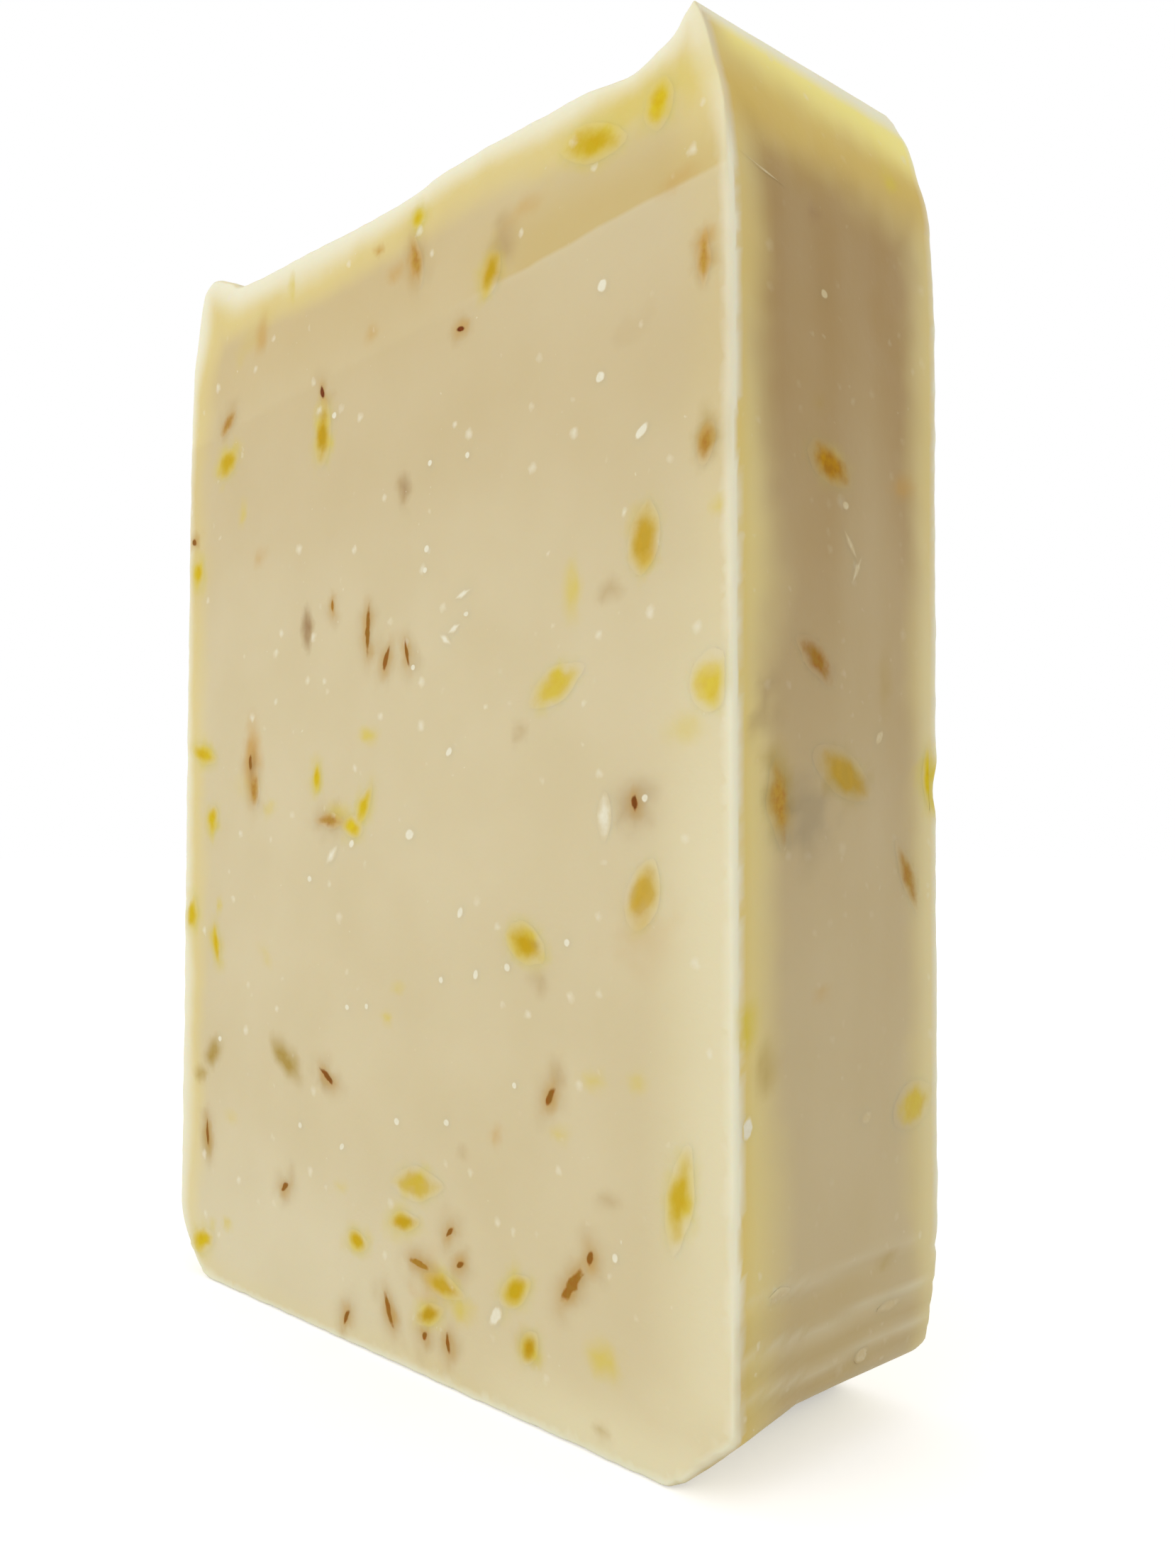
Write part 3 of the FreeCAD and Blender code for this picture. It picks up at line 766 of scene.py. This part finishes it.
def on_face(flat, side, lift):
    """Points of a face, given across and up, set on the skin and lifted by some of its grain."""
    a, z = flat.T
    if side == "front":
        base, out = np.c_[a, np.full(len(a), front), z], (0, -1, 0)
    elif side == "back":
        base, out = np.c_[a, back_face(z), z], (0, 1, 0)
    elif side == "right":
        base, out = np.c_[wall_at(z), a, z], (1, 0, 0)
    else:
        base, out = np.c_[-wall_at(z), a, z], (-1, 0, 0)
    return base + np.array(out) * (lift - relief(base))[:, None]


print("the walls are", wall_at(50.0).round(1), "mm out at 50 mm up, and", wall_at(90.0).round(1), "at 90")

# %% A worn outline
def worn_outline(piece, samples, seed, wear, softness):
    """The piece's outline with rounded corners and a slightly broken line, with room for a soft rim."""
    corners = piece.outline
    for _ in range(2):
        after = np.roll(corners, -1, 0)
        cut = [0.75 * corners + 0.25 * after, 0.25 * corners + 0.75 * after]
        corners = np.stack(cut, 1).reshape(-1, 2)
    closed = np.vstack([corners, corners[:1]])
    run = np.r_[0, np.cumsum(np.linalg.norm(np.diff(closed, axis=0), axis=1))]
    even = np.linspace(0, run[-1], samples, endpoint=False)
    line = np.c_[np.interp(even, run, closed[:, 0]), np.interp(even, run, closed[:, 1])]
    uneven = rough(np.c_[line, np.full(samples, seed)], 0.45, seed)
    arm = line - piece.centre
    on_wall = piece.side in ("left", "right")
    size = 1.15 + (0.75 if on_wall else 0.3) * softness + wear * uneven
    line = piece.centre + arm * (size + 0.35 * softness**2 / np.linalg.norm(arm, axis=1))[:, None]
    low, high = (front + 0.75, back_top - 1.8) if on_wall else (-wall + 0.75, wall - 0.75)
    line[:, 0] = np.clip(line[:, 0], low, high)
    return line


first_petal = worn_outline(petals[0], 28, 0.5, 0.2, 0.9)
print("the first petal's worn outline spans", np.ptp(first_petal, axis=0).round(2), "mm")

# %% Make the chips
outward = {"front": (0, -1, 0), "back": (0, 1, 0), "right": (1, 0, 0), "left": (-1, 0, 0)}


def chips(name, pieces, rim_shares, samples, wear, tints, softness):
    """One object with a thin chip for every piece. Each point knows its rim share, tint and softness."""
    verts, chip_faces, normals, labels = [], [], [], {"rim": [], "tint": [], "soft": []}
    for number, piece in enumerate(pieces):
        edge_line = worn_outline(piece, samples, number + 0.5, wear, softness[number])
        middle = edge_line.mean(0)
        first = len(verts)
        verts += list(on_face(middle[None], piece.side, 0.02))
        for share in rim_shares:
            ring = middle + (edge_line - middle) * share
            verts += list(on_face(ring, piece.side, 0.02 - 0.02 * share**6))
        verts += list(on_face(np.vstack([edge_line, middle]), piece.side, -0.2))
        added = len(verts) - first
        labels["rim"] += [0.0, *np.repeat(rim_shares, samples), *[1.0] * (samples + 1)]
        labels["tint"] += [tints[number]] * added
        labels["soft"] += [softness[number]] * added
        normals += [outward[piece.side]] * added
        turn = (0, 1) if piece.side in ("front", "right") else (1, 0)
        for i in range(samples):
            pair = (i, (i + 1) % samples)
            k, m = pair[turn[0]], pair[turn[1]]
            chip_faces.append((first, first + 1 + k, first + 1 + m))
            for ring in range(len(rim_shares)):
                inner, outer = first + 1 + ring * samples, first + 1 + (ring + 1) * samples
                chip_faces.append((inner + k, outer + k, outer + m, inner + m))
            last = first + 1 + len(rim_shares) * samples
            chip_faces.append((last + k, last + samples, last + m))
    mesh = bpy.data.meshes.new(name)
    mesh.from_pydata([tuple(np.array(v) * mm) for v in verts], [], chip_faces)
    mesh.shade_smooth()
    mesh.normals_split_custom_set_from_vertices(normals)
    labels.update(amounts_at(np.array(verts), np.array(normals, float)))
    label_points(mesh, labels)
    thing = bpy.data.objects.new(name, mesh)
    bpy.context.scene.collection.objects.link(thing)
    print(name, "holds", len(pieces), "chips in", len(mesh.polygons), "faces")
    return thing


print("chips can lie on these faces:", sorted(outward))

# %% [markdown]
# ## Laying the chips
# Each chip gets the same amounts as the skin under it, so that its rim can fade into exactly the colour
# of the stained soap round it. A crisp splinter fades only at its very rim, and a petal that soap has
# crept over fades from near its middle.

# %% Tints and softness, piece by piece
def tint_of(piece, named, usual):
    """A tint for one piece: the one named for its place in the photograph, or the usual one."""
    for side, across, up, tint in named:
        if piece.side == side and np.hypot(*(piece.centre - (across, up))) < 1.0:
            return tint
    return usual


# 0 is a bright yellow petal, 1 a dark amber one
petal_tints = [
    ("front", -4.8, 8.1, 0.35), ("front", 10.8, 79.8, 0.55), ("front", 21.3, 85.4, 0.35),
    ("front", 25.9, 58.2, 0.62), ("front", 25.8, 35.7, 0.65), ("front", 28.9, 17.5, 0.4),
    ("front", 2.7, 13.8, 0.45), ("front", 1.2, 10.8, 0.5), ("front", 6.0, 7.1, 0.5),
    ("front", 4.4, 4.7, 0.6), ("front", 15.3, 5.2, 0.65), ("front", -5.9, 40.2, 0.0),
    ("front", 13.8, 8.5, 0.4), ("front", -28.9, 3.3, 0.1), ("front", 14.8, 32.1, 0.5),
    ("front", 17.7, 49.6, 0.2), ("front", 31.4, 48.8, 0.0), ("front", 27.3, 85.8, 0.05),
    ("front", -10.7, 72.7, 0.6), ("front", -26.5, 73.3, 0.4), ("right", -1.6, 63.4, 1.0),
    ("right", 9.9, 43.5, 0.0), ("right", -0.4, 43.4, 0.7), ("right", 7.3, 21.4, 0.1),
]
# How far soap has crept over it: those at more than 1 are faded all over
petal_softness = [
    ("front", 21.3, 85.4, 0.85), ("front", 17.7, 49.6, 1.4), ("front", 31.4, 48.8, 1.4),
    ("front", 25.8, 35.7, 1.35), ("front", 2.7, 13.8, 1.4), ("front", 28.9, 17.5, 1.1),
    ("front", 25.9, 58.2, 1.2), ("front", 6.0, 7.1, 1.1), ("right", -1.6, 63.4, 0.8),
    ("right", 9.9, 43.5, 0.8), ("right", -0.4, 43.4, 1.3), ("right", 7.3, 21.4, 1.3),
]
# 0 is an amber splinter, 1 a nearly black one
fleck_tints = [
    ("front", 2.0, 83.3, 0.05), ("front", -9.2, 40.8, 0.2), ("front", -9.0, 58.2, 0.3),
    ("front", -20.8, 43.6, 0.1), ("front", 3.2, 8.1, 0.3), ("front", 19.4, 10.2, 0.45),
    ("front", 31.0, 74.6, 0.0), ("front", -32.0, 67.0, 0.7), ("front", -10.8, 76.3, 1.0),
    ("front", 7.4, 76.6, 1.0), ("front", 25.1, 41.6, 0.9), ("front", 31.1, 63.3, 0.15),
    ("front", -26.1, 77.0, 0.2), ("front", -9.2, 20.3, 0.8), ("front", -4.0, 55.6, 0.55),
    ("front", -0.6, 3.8, 0.55), ("right", -7.1, 41.4, 0.0), ("right", 6.9, 36.8, 0.25),
    ("right", -3.3, 50.6, 0.4),
]
print(len(petal_tints), "petals and", len(fleck_tints), "brown bits have a tint of their own")

# %% Petal and fleck chips
def soap_over(piece, shade):
    """How softly a brown bit ends: an amber one lies deeper, and on the walls soap crept over all."""
    if shade < 0.3:
        return 1.1
    return 0.9 if piece.side in ("left", "right") else 0.45


petal_shades = [tint_of(piece, petal_tints, 0.15) for piece in petals]
petal_chips = chips(
    "yellow_petal_chips", petals, (0.3, 0.5, 0.7, 0.85, 0.95, 1.0), 28, 0.2,
    petal_shades, [tint_of(piece, petal_softness, 0.9) for piece in petals],
)
fleck_shades = [tint_of(piece, fleck_tints, 0.65) for piece in flecks]
fleck_chips = chips(
    "brown_fleck_chips", flecks, (0.4, 0.7, 0.88, 1.0), 24, 0.4,
    fleck_shades, [soap_over(piece, shade) for piece, shade in zip(flecks, fleck_shades)],
)

# %% [markdown]
# ## White specks
# Some grains of lye soap stayed undissolved and a few air bubbles dried white. The smallest are left to
# the shader. The ones wide enough to be picked out are small low domes, set on the skin like the flower
# chips.

# %% Places of the specks
# Across, up, length, width and turn, on the front face
front_specks = [
    (22.2, 75.5, 0.75, 0.7, 0), (22.0, 69.5, 0.65, 0.6, 0), (25.7, 65.1, 1.2, 0.5, 35),
    (22.4, 40.7, 2.0, 0.6, 88), (26.0, 41.8, 0.4, 0.4, 0), (1.6, 39.6, 0.9, 0.6, 20),
    (7.7, 34.0, 0.8, 0.45, 60), (12.9, 30.4, 0.5, 0.45, 0), (9.5, 29.6, 0.6, 0.4, 70),
    (5.5, 29.0, 0.4, 0.4, 0), (-6.0, 38.9, 0.6, 0.5, 30), (-8.8, 38.0, 1.4, 0.35, 40),
    (-12.0, 36.0, 0.5, 0.4, 0), (11.8, 6.4, 1.5, 0.8, 50), (23.4, 12.8, 0.5, 0.4, 80),
    (6.2, 18.8, 0.5, 0.4, 0), (0.2, 18.0, 0.5, 0.45, 0), (13.7, 22.4, 0.35, 0.35, 0),
    (18.9, 32.4, 0.4, 0.4, 0), (-7.0, 15.0, 0.6, 0.3, 40), (-13.0, 15.8, 0.4, 0.4, 0),
    (-26.2, 21.5, 0.5, 0.4, 0), (-9.0, 73.9, 0.5, 0.4, 0), (8.3, 67.1, 0.4, 0.4, 0),
    (3.8, 67.4, 0.4, 0.35, 0), (3.3, 59.4, 0.4, 0.35, 0), (-3.8, 26.3, 0.35, 0.35, 0),
    (-6.4, 26.0, 0.4, 0.35, 0), (7.8, 57.0, 1.4, 0.12, 15), (5.8, 53.9, 1.0, 0.15, -30),
    (6.8, 54.6, 0.9, 0.12, 20), (3.5, 61.0, 0.5, 0.4, 30), (6.3, 45.6, 0.7, 0.45, 40),
    (8.2, 55.5, 0.5, 0.3, 0), (1.9, 52.2, 0.4, 0.35, 0),
]
side_specks = [
    (-10.3, 22.2, 1.1, 0.6, 70), (-7.3, 11.8, 1.0, 0.3, 8), (1.2, 6.2, 1.1, 0.5, 10),
    (4.3, 8.7, 1.5, 0.2, 4), (-8.0, 80.6, 2.4, 0.06, -11), (0.5, 58.5, 1.4, 0.12, -50),
    (1.2, 56.9, 1.2, 0.1, 60), (0.0, 61.0, 0.6, 0.4, 0), (-2.2, 74.4, 0.5, 0.4, 0),
    (3.6, 46.0, 0.9, 0.4, 50), (1.8, 21.2, 0.8, 0.5, 20),
]
print(len(front_specks) + len(side_specks), "specks are listed")

# %% Domes of white soap
def speck(side, across, up, length, width, turn):
    """One oval speck, as a piece of its own."""
    a = np.linspace(0, 2 * math.pi, 10, endpoint=False)
    oval = np.c_[np.cos(a) * length / 2, np.sin(a) * width / 2]
    t = math.radians(turn)
    turned = oval @ np.array([[math.cos(t), math.sin(t)], [-math.sin(t), math.cos(t)]])
    return Piece(side, turned + (across, up))


specks = [speck("front", *place) for place in front_specks]
specks += [speck("right", *place) for place in side_specks]
speck_chips = chips(
    "white_specks", specks, (0.5, 0.8, 1.0), 18, 0.2,
    # Specks on the narrow side, away from its front edge, take the darker tint as painted shade, like the
    # soap round them.
    [1.0 if piece.side == "right" and piece.centre[0] > -9 else 0.0 for piece in specks],
    [0.9 if piece.length > 3 * piece.width else 0.4 for piece in specks],
)

# %% [markdown]
# ## Finish of the soap
# A procedural finish is worked out from each point's place, so it has no seams and no picture behind it.
# The soap's colour starts as a cream that drifts a little, is tinted by the stains and by the painted
# light and shade on the skin, and gets sparse white grains from a Voronoi pattern: each cell has one
# point, and only what is very near it turns white.

# %% Shader helpers
def shader(name):
    """A new material with an empty tree."""
    material = bpy.data.materials.new(name)
    material.use_nodes = True
    material.node_tree.nodes.clear()
    return material, material.node_tree


def add(tree, kind, inputs=None, **settings):
    """A node with its settings, whose inputs are numbers, colours or the outputs of other nodes."""
    made = tree.nodes.new("ShaderNode" + kind)
    for label, value in settings.items():
        setattr(made, label, value)
    for socket, value in (inputs or {}).items():
        if isinstance(value, bpy.types.NodeSocket):
            tree.links.new(value, made.inputs[socket])
        else:
            made.inputs[socket].default_value = value
    return made


def amount(tree, label):
    return add(tree, "Attribute", attribute_name=label).outputs["Fac"]


def mixed(tree, factor, first, second):
    """One colour laid over another by a factor."""
    node = add(tree, "Mix", {0: factor, 6: first, 7: second}, data_type="RGBA")
    return node.outputs[2]


def ranged(tree, value, low, high, to_low=0.0, to_high=1.0):
    return add(tree, "MapRange", {0: value, 1: low, 2: high, 3: to_low, 4: to_high}).outputs[0]


def colour(red, green, blue):
    """A colour as a picture editor gives it, 0 to 255, turned into the light values Blender works in."""
    parts = [c / 255 for c in (red, green, blue)]
    return tuple(c / 12.92 if c <= 0.04045 else ((c + 0.055) / 1.055) ** 2.4 for c in parts) + (1.0,)


def noise_at(tree, place, scale, detail=2.0):
    return add(tree, "TexNoise", {"Vector": place, "Scale": scale, "Detail": detail}).outputs["Fac"]


def grains(tree, place, scale, radius):
    """Sparse small soft dots, one to a cell. The largest have the radius, as a share of the cell."""
    cells = add(tree, "TexVoronoi", {"Vector": place, "Scale": scale}, feature="F1")
    limit = ranged(tree, cells.outputs["Color"], 0.25, 0.8, 0.001, radius)
    share = add(tree, "Math", {0: cells.outputs["Distance"], 1: limit}, operation="DIVIDE").outputs[0]
    return ranged(tree, share, 1.0, 0.25)


print("50 per cent grey on screen is", round(colour(128, 128, 128)[0], 3), "as light")

# %% The waxy surface
soak = 0.0016  # how far light gets inside, in metres


def soap_surface(tree, base, gloss, scattering):
    """The waxy surface that every piece shares: faint grain, gloss, and light scattered inside."""
    place = add(tree, "TexCoord").outputs["Object"]
    fine = noise_at(tree, place, 1500.0, 4.0)
    broad_wave = noise_at(tree, place, 260.0, 2.0)
    height_map = add(tree, "Math", {0: fine, 1: broad_wave}, operation="ADD").outputs[0]
    bump = add(tree, "Bump", {"Height": height_map, "Strength": 0.5, "Distance": 0.00006})
    surface = add(tree, "BsdfPrincipled", {
        "Base Color": base, "Roughness": ranged(tree, broad_wave, 0.3, 0.7, 0.42, 0.58), "IOR": 1.46,
        "Specular IOR Level": gloss, "Subsurface Weight": scattering, "Subsurface Scale": soak,
        "Subsurface Radius": (1.0, 0.6, 0.28), "Normal": bump.outputs[0],
    })
    add(tree, "OutputMaterial", {0: surface.outputs[0]})


print("light soaks about", soak / mm, "mm into the soap")

# %% Colour of the soap
# The first tone is painted shade over the narrow sides; warm, gold, sunny and pale are painted light,
# mostly near the edges; tan, yellow, amber, brown and slate are the soap's own colours, and so are grey
# and olive, which also carry painted shade.
soap_tones = [
    ("painted_side_shade", (171, 141, 88)), ("tan", (203, 179, 124)), ("warm", (227, 208, 132)),
    ("gold", (212, 176, 50)), ("sunny", (250, 236, 134)), ("pale", (240, 238, 214)),
    ("grey", (184, 156, 104)), ("olive", (174, 144, 56)), ("slate", (138, 124, 96)),
    ("yellow", (216, 194, 44)), ("amber", (200, 152, 58)), ("brown", (128, 84, 42)),
]  # laid over one another in this order


def soap_colour(tree, place):
    """The colour of the soap at each point, from its drift, its painted stains, its painted light and
    shade, and its white grains.
    """
    drift = ranged(tree, noise_at(tree, place, 90.0), 0.35, 0.65)
    base = mixed(tree, drift, colour(213, 198, 157), colour(217, 203, 164))
    above = ranged(tree, amount(tree, "border"), -0.12, 0.2)
    band = add(tree, "Math", {0: amount(tree, "band"), 1: above}, operation="MULTIPLY").outputs[0]
    base = mixed(tree, band, base, colour(205, 182, 120))
    for label, tone in soap_tones:
        base = mixed(tree, amount(tree, label), base, colour(*tone))
    patchy = ranged(tree, noise_at(tree, place, 75.0), 0.4, 0.56, 0.3, 1.0)
    wobble = add(tree, "TexNoise", {"Vector": place, "Scale": 1400.0}).outputs["Color"]
    bent = add(tree, "Mix", {0: 0.0006, 4: place, 5: wobble}, data_type="VECTOR").outputs[1]
    fine = grains(tree, bent, 700.0, 0.27)
    fine = add(tree, "Math", {0: fine, 1: patchy}, operation="MULTIPLY").outputs[0]
    coarse = grains(tree, bent, 290.0, 0.16)
    coarse = add(tree, "Math", {0: fine, 1: coarse}, operation="MAXIMUM").outputs[0]
    # White grains show less under the painted side shade.
    bright = ranged(tree, amount(tree, "painted_side_shade"), 0.0, 0.4, 0.65, 0.12)
    seen = add(tree, "Math", {0: coarse, 1: bright}, operation="MULTIPLY").outputs[0]
    return mixed(tree, seen, base, colour(236, 230, 206))


soap_finish, tree = shader("cream soap")
place = add(tree, "TexCoord").outputs["Object"]
soap_surface(tree, soap_colour(tree, place), 0.35, 0.3)
print("the soap finish has", len(tree.nodes), "nodes")

# %% [markdown]
# ## Finish of the flower pieces
# A cut petal shows its layers as fine streaks and is richest in the middle. At its rim the colour mixes
# back into that of the stained soap, so chip and skin join without a line. A brown bit is woody, so it
# stays dark almost to its rim. Both share the soap's surface, because the wire left one smooth cut over
# everything. They get no scattering, though: in a chip this thin the light would leave through its
# hidden side and take the red with it.

# %% Petal, fleck and speck finishes
def flower_finish(name, light, dark, streak, scale):
    """A finish whose tint runs from light to dark, streaked, and fading into the soap at the rim."""
    material, tree = shader(name)
    place = add(tree, "TexCoord").outputs["Object"]
    streaks = noise_at(tree, place, scale, 3.0)
    piece = mixed(tree, amount(tree, "tint"), light, dark)
    piece = mixed(tree, ranged(tree, streaks, 0.42, 0.75, 0.0, 0.5), piece, streak)
    ragged = ranged(tree, noise_at(tree, place, scale * 0.6, 3.0), 0.3, 0.7, -0.15, 0.15)
    rim = add(tree, "Math", {0: amount(tree, "rim"), 1: ragged}, operation="ADD").outputs[0]
    start = ranged(tree, amount(tree, "soft"), 0.0, 1.0, 0.95, 0.05)
    veiled = ranged(tree, amount(tree, "soft"), 1.0, 1.4, 0.0, 0.5)
    smooth = {"interpolation_type": "SMOOTHSTEP"}
    fading = add(tree, "MapRange", {0: rim, 1: start, 2: 0.98}, **smooth).outputs[0]
    for least in (ranged(tree, amount(tree, "rim"), 0.9, 1.0), veiled):
        fading = add(tree, "Math", {0: fading, 1: least}, operation="MAXIMUM").outputs[0]
    gloss = ranged(tree, fading, 0.0, 1.0, 0.06, 0.35)
    soap_surface(tree, mixed(tree, fading, piece, soap_colour(tree, place)), gloss, 0.0)
    return material


petal_finish, fleck_finish, speck_finish = (
    flower_finish(name, *(colour(*tone) for tone in tones), scale) for name, tones, scale in (
        ("dried petal", ((220, 194, 30), (170, 118, 22), (208, 160, 8)), 1500.0),
        ("dried flower head", ((190, 148, 54), (108, 50, 12), (162, 82, 22)), 2200.0),
        ("white speck", ((236, 231, 208), (208, 190, 148), (222, 214, 184)), 2600.0),
    )
)
print("three more finishes, for", [thing.name for thing in (petal_chips, fleck_chips, speck_chips)])

# %% [markdown]
# ## Putting the pieces in place
# Each piece rides on the part's one body and stands for the solid it was made from, so that moving the
# part moves everything, and the plain solids no longer show.

skin = bpy.data.objects.new("soap_skin", skin_mesh)
bpy.context.scene.collection.objects.link(skin)
for thing, finish, slot_name in (
    (skin, soap_finish, "soap"), (petal_chips, petal_finish, "yellow_petal"),
    (fleck_chips, fleck_finish, "brown_flower_bit"), (speck_chips, speck_finish, "soap"),
):
    thing.data.materials.append(finish)
    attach(thing, "root")
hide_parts("soap_bar")
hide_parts("yellow_petals")
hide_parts("brown_flecks")
solid_finishes = {"soap_bar": soap_finish, "yellow_petals": petal_finish, "brown_flecks": fleck_finish}
for node, finish in solid_finishes.items():
    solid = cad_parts[node]
    for number in range(len(solid.material_slots)):
        solid.material_slots[number].link = "OBJECT"
        solid.material_slots[number].material = finish
print("placed", [thing.name for thing in (skin, petal_chips, fleck_chips, speck_chips)])

# %% [markdown]
# ## Floor and studio light
# The photograph has the bar on plain white. The floor is a pale sheet that takes the bar's soft shadow.
# The world is white to the camera and to reflections, and gentler as a light, so that the narrow side,
# which only the room lights, comes out a third darker than the face towards the lamp. The room is far
# larger than the bar, so its sizes and places are in metres.

# %% Floor
bpy.ops.mesh.primitive_plane_add(size=6.0, location=(0, 0, 0))
floor = bpy.context.active_object
floor.name = "floor"
floor_finish, tree = shader("pale floor")
seen = add(tree, "LightPath")
cloth = add(tree, "BsdfDiffuse", {"Color": (0.92, 0.92, 0.92, 1.0)})
lift = add(tree, "Math", {0: seen.outputs["Is Camera Ray"], 1: 0.40}, operation="MULTIPLY").outputs[0]
glow = add(tree, "Emission", {"Color": (1.0, 1.0, 1.0, 1.0), "Strength": lift})
shaded = add(tree, "AddShader", {0: cloth.outputs[0], 1: glow.outputs[0]})
add(tree, "OutputMaterial", {0: shaded.outputs[0]})
floor.data.materials.append(floor_finish)
print("the floor is", floor.dimensions.x, "m across")

# %% White room
room_light = 0.80  # as a light; to the camera the room is plain white

world = bpy.data.worlds.new("studio")
bpy.context.scene.world = world
world.use_nodes = True
tree = world.node_tree
tree.nodes.clear()
seen = add(tree, "LightPath")
direct = seen.outputs["Is Camera Ray"]
for ray in ("Is Glossy Ray", "Is Transmission Ray"):
    direct = add(tree, "Math", {0: direct, 1: seen.outputs[ray]}, operation="MAXIMUM").outputs[0]
room = add(tree, "Background", {"Color": (1.0, 0.985, 0.96, 1.0), "Strength": room_light})
white = add(tree, "Background", {"Color": (1.0, 1.0, 1.0, 1.0), "Strength": 1.0})
both = add(tree, "MixShader", {0: direct, 1: room.outputs[0], 2: white.outputs[0]})
add(tree, "OutputWorld", {0: both.outputs[0]})
print("the room lights with a strength of", room_light)

# %% Softbox
lamp = bpy.data.objects.new("softbox", bpy.data.lights.new("softbox", "AREA"))
bpy.context.scene.collection.objects.link(lamp)
lamp.data.shape = "DISK"
lamp.data.size = 0.8
lamp.data.energy = 2.9
lamp.location = (-0.30, -1.10, 0.34)
aim = Vector((0, 0, 0.045))  # the middle of the bar
lamp.rotation_euler = (aim - lamp.location).to_track_quat("-Z", "Y").to_euler()
bpy.context.scene.view_settings.view_transform = "Standard"
print("the lamp stands", round(lamp.location.length, 2), "m away")

# %% [markdown]
# The dressed bar must fill the same box as the solids, or the part would no longer fit where it was
# measured to go.

# %% Update the scene
bpy.context.view_layer.update()
